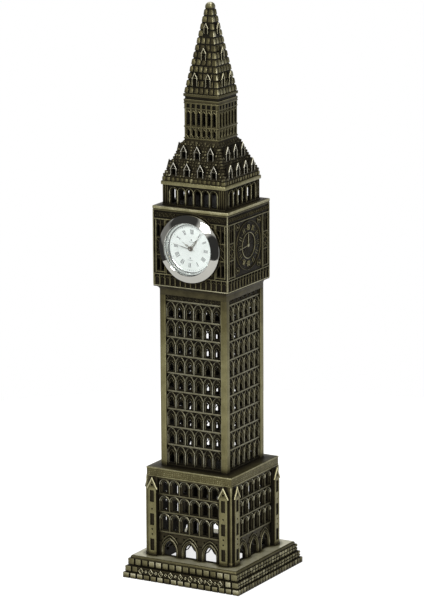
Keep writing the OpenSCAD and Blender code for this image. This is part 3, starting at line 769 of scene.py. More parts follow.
def draw_shaft_wall(side):
    shape = Shape()
    half = SHAFT_R - POST - 0.02
    ground = SHAFT_FACE - 0.55
    heads = [SHAFT_TOP - FRIEZE - k * ROW for k in range(ROWS)]
    feet = heads[1:] + [SHAFT_Z + 0.9]
    holes = []
    for row, (head, foot_z) in enumerate(zip(heads, feet)):
        for u in columns(6, COLUMN):
            wide = (COLUMN - 2.1) * (RNG.uniform(0.75, 1.1) if side != LEFT else 1.15)
            sill = foot_z + RNG.uniform(0.6, 1.4) + (2.4 if side == BACK and row in SHORT_ROWS else 0)
            apex = head - (2.6 if side != LEFT else 1.7)
            holes.append(arch(wide, apex - arch_rise(wide) - sill, POINTED, 6, u, sill))
    plate(shape, rect(-half, half, SHAFT_Z, SHAFT_TOP), holes, ground - 0.62, ground, 0.1,
          wear=(0.02, 0.08, 0.25, 0.1))
    for head, foot_z in zip(heads, feet):
        cell = shaft_cell(foot_z + 0.35, head - 0.35)
        for u in columns(6, COLUMN):
            shape.join(cell, (u, 0, 0))
        for u in columns(7, COLUMN):
            u = min(max(u, -half + 0.2), half - 0.2)
            bar(shape, u, 0.27, foot_z, head - 3.3, ground - ROOT, SHAFT_FACE, 0.24,
                wear=(0.05, 0.5, 1.0, 0.78))
        block(shape, -half, half, head - 0.36, head + 0.36, ground - ROOT, SHAFT_FACE + 0.12, 0.28,
              wear=(0.08, 0.5, 0.9, 0.72))
    block(shape, -half, half, SHAFT_Z, SHAFT_Z + 0.9, ground - ROOT, SHAFT_FACE - 0.1, 0.2,
          wear=(0.05, 0.2, 0.4, 0.3))
    # The frieze: lozenges and bosses between two fillets
    mid = SHAFT_TOP - FRIEZE / 2 + 0.15
    block(shape, -half, half, SHAFT_TOP - FRIEZE + 0.3, SHAFT_TOP - 0.05, ground - 0.3, SHAFT_FACE - 0.25,
          0.1, wear=(0.05, 0.15, 0.2, 0.15))
    for k, u in enumerate(columns(15, 1.74)):
        if k % 2 == 0:
            rib(shape, lozenge(u, mid, 0.75, 0.7), 0.15, SHAFT_FACE - 0.3, 0.3, loop=True, wear=(0.1, 0.6))
        for dv in (-0.6, 0.6) if k % 2 else (0,):
            dome(shape, 0.26, 0.25, SHAFT_FACE - 0.3, (u, mid + dv), 8, 2, wear=(0.1, 0.6))
    return shape


def draw_shaft_post():
    """A corner post, rubbed brightest at half height."""
    shape = Shape()
    at, mid = SHAFT_R - POST / 2, (SHAFT_Z + SHAFT_TOP) / 2
    heights = (SHAFT_Z, mid - 15, mid + 10, SHAFT_TOP - 4, SHAFT_TOP)
    stack(shape, [(POST / 2, z) for z in heights], [0.66, 0.76, 0.76, 0.55, 0.48], centre=(at, -at))
    # A fillet down each inner edge
    bead = SHAFT_R - POST + 0.3
    for x, y in ((bead, SHAFT_R - 0.24), (SHAFT_R - 0.24, bead)):
        stack(shape, [(0.26, z) for z in heights], [0.75, 0.85, 0.85, 0.7, 0.6], corner=0.2, centre=(x, -y))
    return shape


def draw_collar():
    """A plain band flush with the shaft, then a cove out to the tier."""
    r0, r1, z0, z1 = SHAFT_R, TIER_R - 0.1, SHAFT_TOP, TIER_Z
    steps, cove = 6, 2.1
    profile, wear = [(r0 - 0.06, z0), (r0, z0 + 0.1)], [0.4, 0.42]
    for k in range(steps + 1):
        t = math.pi / 2 * k / steps
        profile.append((r0 + (r1 - r0) * (1 - math.cos(t)), z1 - cove + (cove - 0.3) * math.sin(t)))
        wear.append(0.42 - 0.1 * k / steps)
    return stack(Shape(), profile + [(r1, z1)], wear + [0.4])


# ---- Clock tier ----

GROUND_IN = 0.55
ARCADE, ARCADE_BAY = 14, 2.42
FIELD_FOOT, FIELD_TOP = 5.5, 27.8
STRIP_X = 14.1
HOLE_R = reach("friction_ring") + 0.05
HOLE_CLEAR = HOLE_R + 0.2


def bar_spans(side, near, start, end, middle=CLOCK_Z):
    """The stretches of a bar from start to end that keep clear of the front's clock hole, where near is how
    far the bar's near edge passes from the hole's middle."""
    if side != FRONT or near > HOLE_CLEAR:
        return [(start, end)]
    half = math.sqrt(HOLE_CLEAR ** 2 - near ** 2)
    return outside(start, end, [(middle - half, middle + half)])


def clear_hole(points):
    """Moves the points of a relief that stand in the clock hole out past its rim."""
    away = points[:, :2] - CLOCK
    far = np.linalg.norm(away, axis=1)
    near = far < HOLE_CLEAR
    points[near, :2] += away[near] * (HOLE_CLEAR / far[near] - 1)[:, None]


def ring_moulding(shape, r, half, w, height, centre, n=64, wear=(0.1, 0.8)):
    rib(shape, circle(r, n, centre), half, w, height, loop=True, wear=wear)


def draw_relief_dial(shape, ground):
    """A raised dial: two rings, strokes for the hours, leaf-shaped hands and corner roundels."""
    centre = np.array((0.0, CLOCK_Z))
    plate(shape, circle(10.0, 64, centre), [], ground - 0.3, ground + 0.1, 0.08, wear=(0, 0.05, 0.15, 0.1))
    ring_moulding(shape, 10.1, 0.26, ground, 0.45, centre, 72, wear=(0.1, 0.6))
    ring_moulding(shape, 9.4, 0.16, ground + 0.05, 0.25, centre, 72, wear=(0.05, 0.45))
    ring_moulding(shape, 5.3, 0.28, ground + 0.05, 0.42, centre, 56, wear=(0.1, 0.95))
    for hour in range(12):
        a = math.radians(30 * hour)
        ahead = ray(a)
        across = np.array((ahead[1], -ahead[0]))
        for shift in ((-0.5, 0.5) if hour % 3 else (-0.75, 0.0, 0.75)):
            p = centre + across * shift
            rib(shape, [p + ahead * 6.4, p + ahead * 8.7], 0.22, ground + 0.05, 0.38, wear=(0.05, 0.95))
        dome(shape, 0.42, 0.35, ground + 0.1, centre + ray(a + math.pi / 12) * 7.5, 8, 2, wear=(0.05, 0.7))
        rib(shape, [centre + ahead * 1.4, centre + ahead * 4.7], 0.13, ground + 0.05, 0.2, wear=(0.05, 0.4))
    for angle, length, half in ((0, 4.8, 0.3), (-95, 7.4, 0.26)):
        tip = centre + length * ray(math.radians(angle))
        rib(shape, [centre, centre * 0.45 + tip * 0.55, tip], half, ground + 0.1, 0.4, wear=(0.2, 1.0))
    dome(shape, 0.9, 0.45, ground + 0.1, centre, 16, 4)
    for su, sv in DIAGONALS:
        at = (su * 8.9, CLOCK_Z + sv * 9.0)
        ring_moulding(shape, 1.35, 0.2, ground, 0.35, at, 20, wear=(0.1, 0.7))
        dome(shape, 0.5, 0.4, ground, at, 10, 3)
        four_domes(shape, 0.3, 0.25, ground, at, (0.85, 0.85), 8, (0.1, 0.6))


def draw_strip(shape, centre, ground, side):
    """The panel of slim lancets and crossed ribs that stands beside the dial."""
    foot_z, head_z = TIER_Z + FIELD_FOOT + 0.5, TIER_Z + FIELD_TOP - 0.5
    half = 2.1
    for u in (centre - half, centre + half):
        for v0, v1 in bar_spans(side, abs(u) - 0.26, foot_z - 0.4, head_z + 0.4):
            bar(shape, u, 0.26, v0, v1, ground - ROOT, ground + 0.5, 0.2, wear=(0.05, 0.45, 0.9, 0.65))
    bar(shape, centre, 0.18, foot_z, head_z, ground - ROOT, ground + 0.3, 0.12, wear=(0.05, 0.3, 0.6, 0.4))
    storey = (head_z - foot_z) / 3
    for k in range(3):
        z0 = foot_z + k * storey
        if k == 1:
            for z in (z0 + 0.2, z0 + storey / 2):
                h = storey / 2 - 0.3
                rib(shape, [(centre - half, z), (centre + half, z + h)], 0.24, ground, 0.46,
                    wear=(0.1, 0.75))
                rib(shape, [(centre - half, z + h), (centre + half, z)], 0.24, ground, 0.42,
                    wear=(0.1, 0.75))
        else:
            for u in (centre - half / 2, centre + half / 2):
                rib(shape, arch_line(half - 0.2, storey - 2.9, POINTED, 5, u, z0 + 0.3), 0.16, ground, 0.32,
                    wear=(0.05, 0.5))
        block(shape, centre - half, centre + half, z0 - 0.22, z0 + 0.22, ground - ROOT, ground + 0.42, 0.15,
              wear=(0.05, 0.4, 0.8, 0.6))


def tier_holes():
    """Narrow slots through the strips."""
    foot_z, head_z = TIER_Z + FIELD_FOOT + 0.5, TIER_Z + FIELD_TOP - 0.5
    storey = (head_z - foot_z) / 3
    return [arch(1.1, storey - 3.4, POINTED, 4, s * STRIP_X + t * 1.05, foot_z + k * storey + 0.7)
            for s in (-1, 1) for t in (-1, 1) for k in (0, 2)]


def draw_clock_panel(side):
    shape = Shape()
    ground, r = TIER_R - GROUND_IN, TIER_R
    outer = rect(-ground, ground, TIER_Z, TIER_TOP)
    holes = tier_holes()
    if side == FRONT:
        holes.append(circle(HOLE_R, 96, CLOCK))
    plate(shape, outer, holes, ground - 1.4, ground, 0.08, wear=(0.02, 0.08, 0.2, 0.1))
    for v0, v1, out, bright in ((0, 0.42, 0, 1.1), (4.8, 5.2, 0.08, 0.9), (27.8, 28.2, 0.05, 0.9),
                                (31.5, 32.0, 0.1, 0.7)):
        v0, v1 = TIER_Z + v0, TIER_Z + v1
        for u0, u1 in bar_spans(side, min(abs(v0 - CLOCK_Z), abs(v1 - CLOCK_Z)), -r, r, 0):
            block(shape, u0, u1, v0, v1, ground - ROOT, r - out, 0.2,
                  wear=(0.1, 0.6 * bright, bright, 0.8 * bright))
    for u in columns(ARCADE, ARCADE_BAY):
        rib(shape, arch_line(2.1, 2.3, 0.55, 6, u, TIER_Z + 0.45), 0.18, ground, 0.42, wear=(0.05, 0.72))
        bar(shape, u, 0.55, TIER_Z + 0.4, TIER_Z + 1.1, ground - ROOT, ground + 0.22, 0.1,
            wear=(0.02, 0.2, 0.4, 0.25))
    for u in columns(ARCADE + 1, ARCADE_BAY):
        u = min(max(u, -r + 0.5), r - 0.5)
        bar(shape, u, 0.18, TIER_Z + 0.4, TIER_Z + 4.85, ground - ROOT, ground + 0.5, 0.15,
            wear=(0.05, 0.4, 0.8, 0.6))
    mid = TIER_Z + 29.85
    for u in columns(17, 1.98):
        ring_moulding(shape, 0.74, 0.15, ground, 0.34, (u, mid), 12, wear=(0.05, 0.6))
        four_domes(shape, 0.22, 0.22, ground, (u, mid), (0.98, 1.05), 6, (0.05, 0.5))
        dome(shape, 0.26, 0.3, ground, (u, mid), 8, 2, wear=(0.05, 0.6))
    for s in (-1, 1):
        at = s * (r - 0.24)
        bar(shape, at, 0.24, TIER_Z + 0.4, TIER_TOP, ground - ROOT, r, 0.18, wear=(0.1, 0.6, 1.1, 0.8))
        draw_strip(shape, s * STRIP_X, ground, side)
        for v0, v1 in bar_spans(side, 11.4 - 0.24, TIER_Z + 5.2, TIER_Z + 27.8):
            bar(shape, s * 11.4, 0.24, v0, v1, ground - ROOT, r - 0.08, 0.2, wear=(0.05, 0.45, 0.8, 0.6))
    if side != FRONT:
        draw_relief_dial(shape, ground)
    else:
        for points in shape.points[1:]:
            clear_hole(points)
        ring_moulding(shape, BEZEL_R + 0.35, 0.3, ground, 0.35, CLOCK, 96, wear=(0.05, 0.5))
        for su, sv in DIAGONALS:
            dome(shape, 0.8, 0.45, ground, (su * 9.6, CLOCK_Z + sv * 9.8), 12, 3)
    return shape


def draw_tier_slab():
    r, z0, z1 = reach("clock_tier_slab"), TIER_TOP, BELFRY_Z
    profile = [(r - 0.35, z0), (r - 0.05, z0 + 0.2), (r, z0 + 0.4), (r, z1 - 0.3), (r - 0.06, z1 - 0.08),
               (r - 0.3, z1), (BELFRY_R - 0.6, z1)]
    return stack(Shape(), profile, [0.3, 0.6, 0.8, 0.85, 0.95, 0.4, 0.1], corner=0.25)


# ---- Belfry ----

BELFRY_BAY = 3.75


def draw_belfry(_side):
    shape = Shape()
    r, ground, z = BELFRY_R, BELFRY_R - 0.5, BELFRY_Z
    holes = [arch(2.6, 5.1, ROUND, 7, u, z + 0.75) for u in columns(6, BELFRY_BAY)]
    plate(shape, rect(-ground, ground, z, BELFRY_TOP), holes, ground - 1.0, ground, 0.1,
          wear=(0.02, 0.1, 0.3, 0.15))
    for u in columns(6, BELFRY_BAY):
        rib(shape, arch_line(BELFRY_BAY - 0.15, 5.0, ROUND, 8, u, z + 0.9), 0.2, ground, 0.45,
            wear=(0.1, 1.0))
        rib(shape, arch_line(BELFRY_BAY - 0.95, 5.0, ROUND, 7, u, z + 0.7), 0.12, ground, 0.22,
            wear=(0.03, 0.5))
    for u in columns(7, BELFRY_BAY):
        bar(shape, u, 0.28, z + 0.3, z + 6.0, ground - ROOT, r - 0.05, 0.22, wear=(0.05, 0.5, 1.0, 0.75))
    for s in (-1, 1):
        for x in (12.2, 13.1, 14.0):
            bar(shape, s * x, 0.3, z + 0.2, BELFRY_TOP, ground - ROOT, r - 0.02, 0.28,
                wear=(0.05, 0.2, 0.55, 0.35))
    block(shape, -r, r, z, z + 0.45, ground - ROOT, r, 0.2, wear=(0.05, 0.3, 0.6, 0.4))
    return shape


def draw_belfry_cornice():
    shape = Shape()
    r, z0, z1 = reach("belfry_cornice"), BELFRY_TOP, ROOF_Z
    profile = [(r - 0.45, z0), (r - 0.1, z0 + 0.12), (r, z0 + 0.35), (r, z0 + 1.4), (r - 0.15, z0 + 1.65),
               (r - 0.7, z0 + 1.75), (r - 0.7, z1 - 0.5), (r - 1.2, z1)]
    stack(shape, profile, [0.4, 0.75, 0.75, 0.72, 0.75, 0.35, 0.35, 0.3], corner=0.25)
    brick_course(shape, r - 0.35, z0 + 1.8, z1 - 0.3, 2.05, 1.0, gap=0.85, soft=0.4, bright=0.9)
    return shape


# ---- Lower roof ----

ROOF_BREAK_R, ROOF_BREAK = 11.7, 6.6
ROOF_HEAD_R, ROOF_HEAD = 9.0, 13.4
TILE_ROWS, HIP_STONES = 6, 12


def on_slope(drawing, r0, z0, r1, z1):
    """A drawing on an upright wall moved onto a slope from (r0, z0) to (r1, z1). Its up is the distance
    along the slope, and its out is the height above it."""
    length = math.hypot(r1 - r0, z1 - z0)
    along, lift = (r1 - r0) / length, (z1 - z0) / length

    def lean(points):
        u, v, w = points.T
        return np.column_stack((u, z0 + v * lift - w * along, r0 + v * along + w * lift))
    return drawing.moved(lean)


def draw_dormer(shape, centre, z0, w, h, face, back):
    """An upright gabled dormer: bright gable lines over a crossbar, a dark opening between its legs."""
    half, eaves = w / 2, h - w * 0.85
    outline = np.array([(centre - half, z0), (centre + half, z0), (centre + half, z0 + eaves),
                        (centre, z0 + h), (centre - half, z0 + eaves)])
    hole = arch(w * 0.5, eaves * 0.7, POINTED, 5, centre, z0 + 0.2)
    plate(shape, outline, [hole], back, face, 0.1, wear=(0.0, 0.1, 0.3, 0.1))
    peak = [(centre - half, z0 + eaves - 0.2), (centre, z0 + h), (centre + half, z0 + eaves - 0.2)]
    rib(shape, peak, 0.2, face - 0.1, 0.34, wear=(0.4, 1.3))
    cross = z0 + eaves + 0.15
    rib(shape, [(centre - half, cross), (centre + half, cross)], 0.16, face - 0.12, 0.3, wear=(0.3, 1.1))
    for s in (-1, 1):
        leg = centre + s * (half - 0.2)
        rib(shape, [(leg, z0), (leg, z0 + eaves)], 0.2, face - 0.1, 0.32, wear=(0.2, 1.1))


def roof_face():
    """One side of the lower roof: two slopes of knobbly tiles, each with a row of dormers."""
    shape = Shape()
    slopes = ((ROOF_R, ROOF_Z - 0.05, ROOF_BREAK_R, ROOF_Z + ROOF_BREAK, columns(4, 6.3), 2.9, 5.2, 0.5),
              (ROOF_BREAK_R, ROOF_Z + ROOF_BREAK, ROOF_HEAD_R, ROOF_Z + ROOF_HEAD, columns(3, 6.3), 2.9, 5.5,
               0.4))
    for r0, z0, r1, z1, places, w, h, sill in slopes:
        length = math.hypot(r1 - r0, z1 - z0)
        sheet = Shape()
        holes = [arch(1.5, 2.2, POINTED, 4, u, 1.0) for u in places]
        outer = [(-r0, 0), (r0, 0), (r1, length), (-r1, length)]
        plate(sheet, outer, holes, -1.3, -0.3, 0.05, wear=(0.02, 0.2, 0.4, 0.35))
        for row in range(TILE_ROWS):
            v = (row + 0.5) * length / TILE_ROWS
            wide = r0 + (r1 - r0) * v / length
            n = int(2 * wide / 1.3)
            for u in columns(n, 2 * wide / n):
                u += 0.32 if row % 2 else -0.32
                near = min(abs(u - p) for p in places)
                if near < w / 2 + 0.15 and v < h or abs(u) > wide - 0.45:
                    continue
                bright = 0.45 + 0.6 * RNG.uniform() ** 3
                bar(sheet, u, 0.5, v - 0.48, v + 0.48, -0.5, RNG.uniform(-0.05, 0.15), 0.3,
                    wear=(0.05, 0.4 * bright, 0.8 * bright, 0.75 * bright))
        shape.join(on_slope(sheet, r0, z0, r1, z1))
        lean = (r0 - r1) / (z1 - z0)
        for u in places:
            draw_dormer(shape, u, z0 + sill, w, h, r0 - lean * sill - 0.1, r0 - lean * (sill + h * 0.72))
    return shape


def roof_r(z):
    """Half width of the lower roof at a height."""
    if z < ROOF_Z + ROOF_BREAK:
        return ROOF_R + (ROOF_BREAK_R - ROOF_R) * (z - ROOF_Z) / ROOF_BREAK
    rise = ROOF_HEAD - ROOF_BREAK
    return ROOF_BREAK_R + (ROOF_HEAD_R - ROOF_BREAK_R) * (z - ROOF_Z - ROOF_BREAK) / rise


def draw_lower_roof():
    shape = Shape()
    on_all_sides(shape, mitred(roof_face()))
    # The hips: a string of quoins up each corner
    for k in range(HIP_STONES):
        z = ROOF_Z + (k + 0.5) / HIP_STONES * ROOF_HEAD
        for sx, sy in DIAGONALS:
            at = roof_r(z) - 0.5
            bright = RNG.uniform(0.3, 0.8)
            stack(shape, [(0.3, z - 0.5), (0.54, z - 0.3), (0.52, z + 0.3), (0.3, z + 0.5)],
                  [0.2 * bright, 0.8 * bright, bright, 0.6 * bright], corner=0.25, centre=(sx * at, sy * at))
    # The ledge under the lantern and its dentils
    z = ROOF_Z + ROOF_HEAD - 0.4
    stack(shape, [(ROOF_HEAD_R - 0.2, z - 0.3), (ROOF_HEAD_R - 0.7, z + 0.4),
                  (ROOF_HEAD_R - 1.1, LANTERN_Z)], [0.1, 0.3, 0.3])
    brick_course(shape, ROOF_HEAD_R, z - 0.3, z + 1.2, 2.0, 1.1, gap=0.6, soft=0.35, batter=0.5, bright=0.75)
    return shape


# ---- Lantern ----

LANTERN_BAY = 2.42


def draw_lantern(_side):
    shape = Shape()
    r, ground, z = LANTERN_R, LANTERN_R - 0.35, LANTERN_Z
    holes = []
    for u in columns(6, LANTERN_BAY):
        holes += [arch(1.1, 1.9, 0.55, 5, u, z + 1.3), arch(1.35, 4.3, 0.9, 5, u, z + 5.9)]
    plate(shape, rect(-ground, ground, z, LANTERN_TOP), holes, ground - 0.75, ground, 0.08,
          wear=(0.05, 0.3, 0.55, 0.5))
    for u in columns(7, LANTERN_BAY):
        u = min(max(u, -r + 0.3), r - 0.3)
        bar(shape, u, 0.3, z + 0.7, z + 12.6, ground - ROOT, r - 0.02, 0.24, wear=(0.05, 0.5, 0.85, 0.65))
        bar(shape, u, 0.45, z + 12.6, z + 14.6, ground - ROOT, r - 0.05, 0.15, wear=(0.05, 0.4, 0.7, 0.55))
    for u in columns(6, LANTERN_BAY):
        bar(shape, u, 0.75, z + 12.9, z + 14.5, ground - 0.3, ground + 0.02, 0.05, wear=0)
        rib(shape, arch_line(LANTERN_BAY - 0.35, 4.4, 0.9, 6, u, z + 5.7), 0.24, ground, 0.33,
            wear=(0.05, 0.75))
        # The foot storey: pointed ovals whose sides cross
        for s in (-1, 1):
            oval = [(u + s * 1.15 * math.sin(math.pi * k / 8), z + 0.7 + 4.1 * k / 8) for k in range(9)]
            rib(shape, oval, 0.18, ground, 0.32, wear=(0.05, 0.8))
    for v0, v1, out in ((0, 0.65, 0), (4.8, 5.4, 0.02), (12.5, 12.9, 0.02), (14.6, LANTERN_TOP - z, 0.0)):
        block(shape, -r, r, z + v0, z + v1, ground - ROOT, r - out, 0.18, wear=(0.05, 0.45, 0.8, 0.6))
    return shape


def draw_lantern_cap():
    r, z0, z1 = LANTERN_R + 0.1, LANTERN_TOP, SPIRE_Z
    profile = [(r - 0.25, z0), (r - 0.1, z0 + 0.8), (r - 0.1, z0 + 1.2), (r - 0.5, z0 + 1.4),
               (r - 0.5, z0 + 2.2), (r - 0.05, z0 + 2.4), (r, z1 - 0.4), (reach("lantern_cap"), z1 - 0.35),
               (r - 0.1, z1 - 0.1), (r - 0.5, z1)]
    return stack(Shape(), profile, [0.4, 0.45, 0.8, 0.15, 0.1, 0.5, 0.5, 0.8, 0.6, 0.2], corner=0.25)


# ---- Spire ----

SPIRE_COURSES = 12
SPIRE_HEAD, TIP = 1.6, 2.4
SPIRE_RISE = SPIRE_TOP - 1.7 - SPIRE_Z


def spire_r(z):
    """Half width of the spire at a height."""
    return LANTERN_R - (LANTERN_R - SPIRE_HEAD) * (z - SPIRE_Z) / SPIRE_RISE


def draw_spire():
    shape = Shape()
    dormer_rows = ((3.1, (-3.1, 3.1), 2.5, 5.3), (13.6, (0.0,), 2.4, 5.0), (24.2, (0.0,), 2.1, 4.2))
    tip_z = SPIRE_TOP - TIP
    stack(shape, [(spire_r(SPIRE_Z) - 0.45, SPIRE_Z), (spire_r(tip_z) - 0.3, tip_z)], [0.05, 0.05],
          corner=0.2)
    batter = (LANTERN_R - SPIRE_HEAD) / SPIRE_RISE
    step = (tip_z - SPIRE_Z) / SPIRE_COURSES
    for k in range(SPIRE_COURSES):
        z0 = SPIRE_Z + 0.08 + k * step
        gaps = []
        for z, places, w, h in dormer_rows:
            share = (z0 + step / 2 - SPIRE_Z - z) / h
            if -0.1 < share < 1:
                half = w / 2 * min(1, (1 - share) / 0.45) - 0.1
                gaps += [(c - half, c + half) for c in places]
        # Painted light and shade: the bricks of the right and back faces are made brighter, those of the
        # front and left darker
        for sides, bright in (((FRONT, LEFT), 0.85), ((RIGHT, BACK), 1.12)):
            brick_course(shape, spire_r(z0), z0, z0 + step - 0.35, 2.3, 1.0, 0.42, 0.6, batter, bright,
                         sides, gaps)
    for z, places, w, h in dormer_rows:
        wall = Shape()
        for c in places:
            face = min(spire_r(SPIRE_Z + z) + 0.1, LANTERN_R)
            draw_dormer(wall, c, SPIRE_Z + z, w, h, face - 0.1, spire_r(SPIRE_Z + z + h) - 0.3)
        on_all_sides(shape, wall)
    r = spire_r(tip_z)
    tip = [(r - 0.15, tip_z - 0.2), (r, tip_z + 0.2), (r - 0.05, tip_z + 1.0), (r - 0.25, tip_z + 1.6),
           (r - 0.55, SPIRE_TOP - 0.35), (r - 0.85, SPIRE_TOP - 0.1), (r - 1.2, SPIRE_TOP)]
    stack(shape, tip, [0.2, 0.6, 0.7, 0.8, 1.0, 1.0, 1.0], corner=0.7)
    return shape


# ---- Clock insert ----

CASE_R = 11.9
SHOWN_MINUTES = 606.5
SECOND_TURN = 282
NUMERALS = ("XII", "I", "II", "III", "IIII", "V", "VI", "VII", "VIII", "IX", "X", "XI")
NUMERAL_R, NUMERAL_H, INK_H = 7.0, 1.75, 0.035
LETTER_W = {"I": 0.42, "V": 0.8, "X": 0.8}
DIAL_TURN = math.radians(4.4)  # the press-in clock sits a little clockwise in its hole


def draw_case():
    bore, rear = CRYSTAL_R + 0.05, CASE_REAR
    back, w = TIER_R + 0.05, BEZEL_OUT
    profile = [(bore, rear), (CASE_R - 0.15, rear), (CASE_R, rear + 0.15), (CASE_R, back),
               (BEZEL_R - 0.05, back), (BEZEL_R, back + 0.1), (BEZEL_R, back + 0.65),
               (BEZEL_R - 0.08, back + 0.82), (BEZEL_R - 0.25, back + 0.95), (BEZEL_R - 1.3, back + 1.6),
               (11.25, w - 0.1), (11.12, w - 0.03), (11.02, w), (bore, w - 0.08)]
    return lathe(profile, 144)


def draw_crystal():
    shape = Shape()
    w0, w1 = depth("crystal")
    edge = [(CRYSTAL_R, w0), (CRYSTAL_R, w1 - 0.3), (CRYSTAL_R - 0.3, w1 - 0.08)]
    rings = [flat(circle(r, 96, CLOCK), w) for r, w in edge + [(CRYSTAL_R - 2, w1 - 0.03), (4, w1)]]
    loft(shape, rings, 0.5)
    return shape


def draw_dial_ring():
    hi = depth("dial_ring")[1]
    outer = CRYSTAL_R - 0.02
    profile = [(9.75, DIAL_OUT), (outer, DIAL_OUT), (outer, hi), (outer - 0.15, hi), (10.3, DIAL_OUT + 0.75),
               (10.0, DIAL_OUT + 0.35), (9.8, DIAL_OUT + 0.25)]
    return lathe(profile, 120)


def stroke(shape, a, b, half):
    """A thin printed line on the dial."""
    a, b = np.asarray(a, float), np.asarray(b, float)
    along = (b - a) / np.linalg.norm(b - a)
    across = np.array((-along[1], along[0])) * half
    loop = np.array([a - across, b - across, b + across, a + across])
    loft(shape, [flat(loop, DIAL_OUT), flat(loop, DIAL_OUT + INK_H)], 0.5)


def numeral(shape, word, angle):
    """A Roman numeral that stands on the dial's rim with its head outwards."""
    total = sum(LETTER_W[c] for c in word)
    c, s = math.cos(angle), math.sin(angle)

    def line(x0, y0, x1, y1, half):
        ends = [(x * c + (NUMERAL_R + y) * s, CLOCK_Z - x * s + (NUMERAL_R + y) * c)
                for x, y in ((x0, y0 * NUMERAL_H / 2), (x1, y1 * NUMERAL_H / 2))]
        stroke(shape, *ends, half)
    x = -total / 2
    for letter in word:
        w = LETTER_W[letter]
        left, right, mid = x + 0.12, x + w - 0.12, x + w / 2
        if letter == "I":
            line(mid, -1, mid, 1, 0.1)
        elif letter == "V":
            line(left, 1, mid, -1, 0.11)
            line(right, 1, mid, -1, 0.05)
        else:
            line(left, 1, right, -1, 0.11)
            line(right, 1, left, -1, 0.05)
        x += w
    for y in (-1, 1):
        line(-total / 2 + 0.03, y, total / 2 - 0.03, y, 0.035)


def draw_dial_print():
    shape = Shape()
    for hour, word in enumerate(NUMERALS):
        numeral(shape, word, math.radians(30 * hour) + DIAL_TURN)
    for minute in range(60):
        out = ray(math.radians(6 * minute) + DIAL_TURN)
        inner, half = (9.05, 0.035) if minute % 5 else (8.9, 0.08)
        stroke(shape, inner * out + CLOCK, 9.4 * out + CLOCK, half)
    # A small plain ornament above and below the centre: a lozenge over a fine line
    for up in (3.6, -4.0):
        loop = lozenge(up * math.sin(DIAL_TURN), CLOCK_Z + up, 0.3, 0.42)
        loft(shape, [flat(loop, DIAL_OUT), flat(loop, DIAL_OUT + INK_H)], 0.5)
        stroke(shape, loop[1] + (-1.1, -0.33), loop[1] + (1.1, -0.5), 0.05)
    return shape


def draw_dial():
    shape = Shape()
    hole = circle(0.95, 32, CLOCK)
    plate(shape, circle(CRYSTAL_R, 96, CLOCK), [hole], DIAL_REAR, DIAL_OUT, 0.03)
    return shape


# A hand's outline as (share of its length, share of its width): a leaf, then a needle
LEAF = ((0.0, 0.5), (0.2, 1.0), (0.42, 0.85), (0.54, 0.2), (0.98, 0.14), (1.0, 0.03))


def draw_hand(name, angle, lengths, half, eye, bore):
    """A hand with a low ridge, turned clockwise by angle degrees, with an arm of each length."""
    shape = Shape()
    w0, w1 = depth(name)
    plate(shape, circle(eye, 32), [circle(bore, 24)], w0, w1, 0.04)
    for length in lengths:
        start = math.copysign(eye * 0.85, length)
        rings = []
        for t, share in LEAF:
            y = start + (length - start) * t
            x = half * share
            rings.append(np.array([(-x, y, w0), (x, y, w0), (x, y, w1 - 0.1), (0, y, w1),
                                   (-x, y, w1 - 0.1)]))
        loft(shape, rings, 0.5)
    s, c = ray(math.radians(angle))

    def turn(points):
        x, y, w = points.T
        return np.column_stack((x * c + y * s, -x * s + y * c + CLOCK_Z, w))
    return shape.moved(turn)


def draw_lume(name, angle, start, end, half):
    """The pale strip along a hand."""
    shape = Shape()
    ahead = ray(math.radians(angle))
    across = np.array((ahead[1], -ahead[0]))
    face = depth(name)[1]
    loop = np.array([ahead * start - across * half * 0.7, ahead * start + across * half * 0.7,
                     ahead * (start + end) / 2 + across * half, ahead * end + across * half * 0.3,
                     ahead * end - across * half * 0.3, ahead * (start + end) / 2 - across * half])
    loop += CLOCK
    loft(shape, [flat(loop, face - 0.08), flat(loop, face + 0.01)], 0.5)
    return shape


def draw_friction_ring():
    """A rubber sleeve with soft ribs round it."""
    (w0, w1), r = depth("friction_ring"), reach("friction_ring")
    inner = CASE_R + 0.05
    profile = [(inner, w0), (r - 0.25, w0)]
    step = (w1 - w0) / 4
    for k in range(4):
        profile += [(r, w0 + (k + 0.3) * step), (r, w0 + (k + 0.7) * step), (r - 0.25, w0 + (k + 1) * step)]
    return lathe(profile + [(inner, w1)])


def draw_case_back():
    """The snap-on back, dished, with a thumb notch ring."""
    (w0, w1), r = depth("case_back"), reach("case_back")
    profile = [(0.02, w0 + 0.3), (8.2, w0 + 0.3), (8.6, w0 + 0.05), (9.0, w0), (r - 0.4, w0),
               (r - 0.1, w0 + 0.12), (r, w0 + 0.3), (r, w0 + 0.9), (10.85, w0 + 0.95), (10.85, w1),
               (10.1, w1), (10.1, w0 + 0.95), (0.02, w0 + 0.9)]
    return lathe(profile)


# ---- Building ----

def build_tower():
    cast("plinth", draw_plinth())
    piece("plinth_deck", draw_plinth_deck(), SMOOTH)
    on_four_sides("podium", draw_podium_wall, DUSTY)
    on_four_corners("podium_corner", draw_podium_corner(), GOLDEN)
    cast("podium_cornice", draw_podium_cornice(), HAMMERED)
    on_four_sides("shaft", draw_shaft_wall, DUSTY)
    on_four_corners("shaft_post", draw_shaft_post(), GOLDEN)
    cast("clock_tier_collar", draw_collar())
    on_four_sides("clock_panel", draw_clock_panel, mitre=True)
    cast("clock_tier_slab", draw_tier_slab(), HAMMERED)
    on_four_sides("belfry", draw_belfry, mitre=True)
    cast("belfry_cornice", draw_belfry_cornice(), HAMMERED)
    cast("lower_roof", draw_lower_roof(), DUSTY)
    on_four_sides("lantern", draw_lantern, mitre=True)
    cast("lantern_cap", draw_lantern_cap())
    cast("spire", draw_spire())


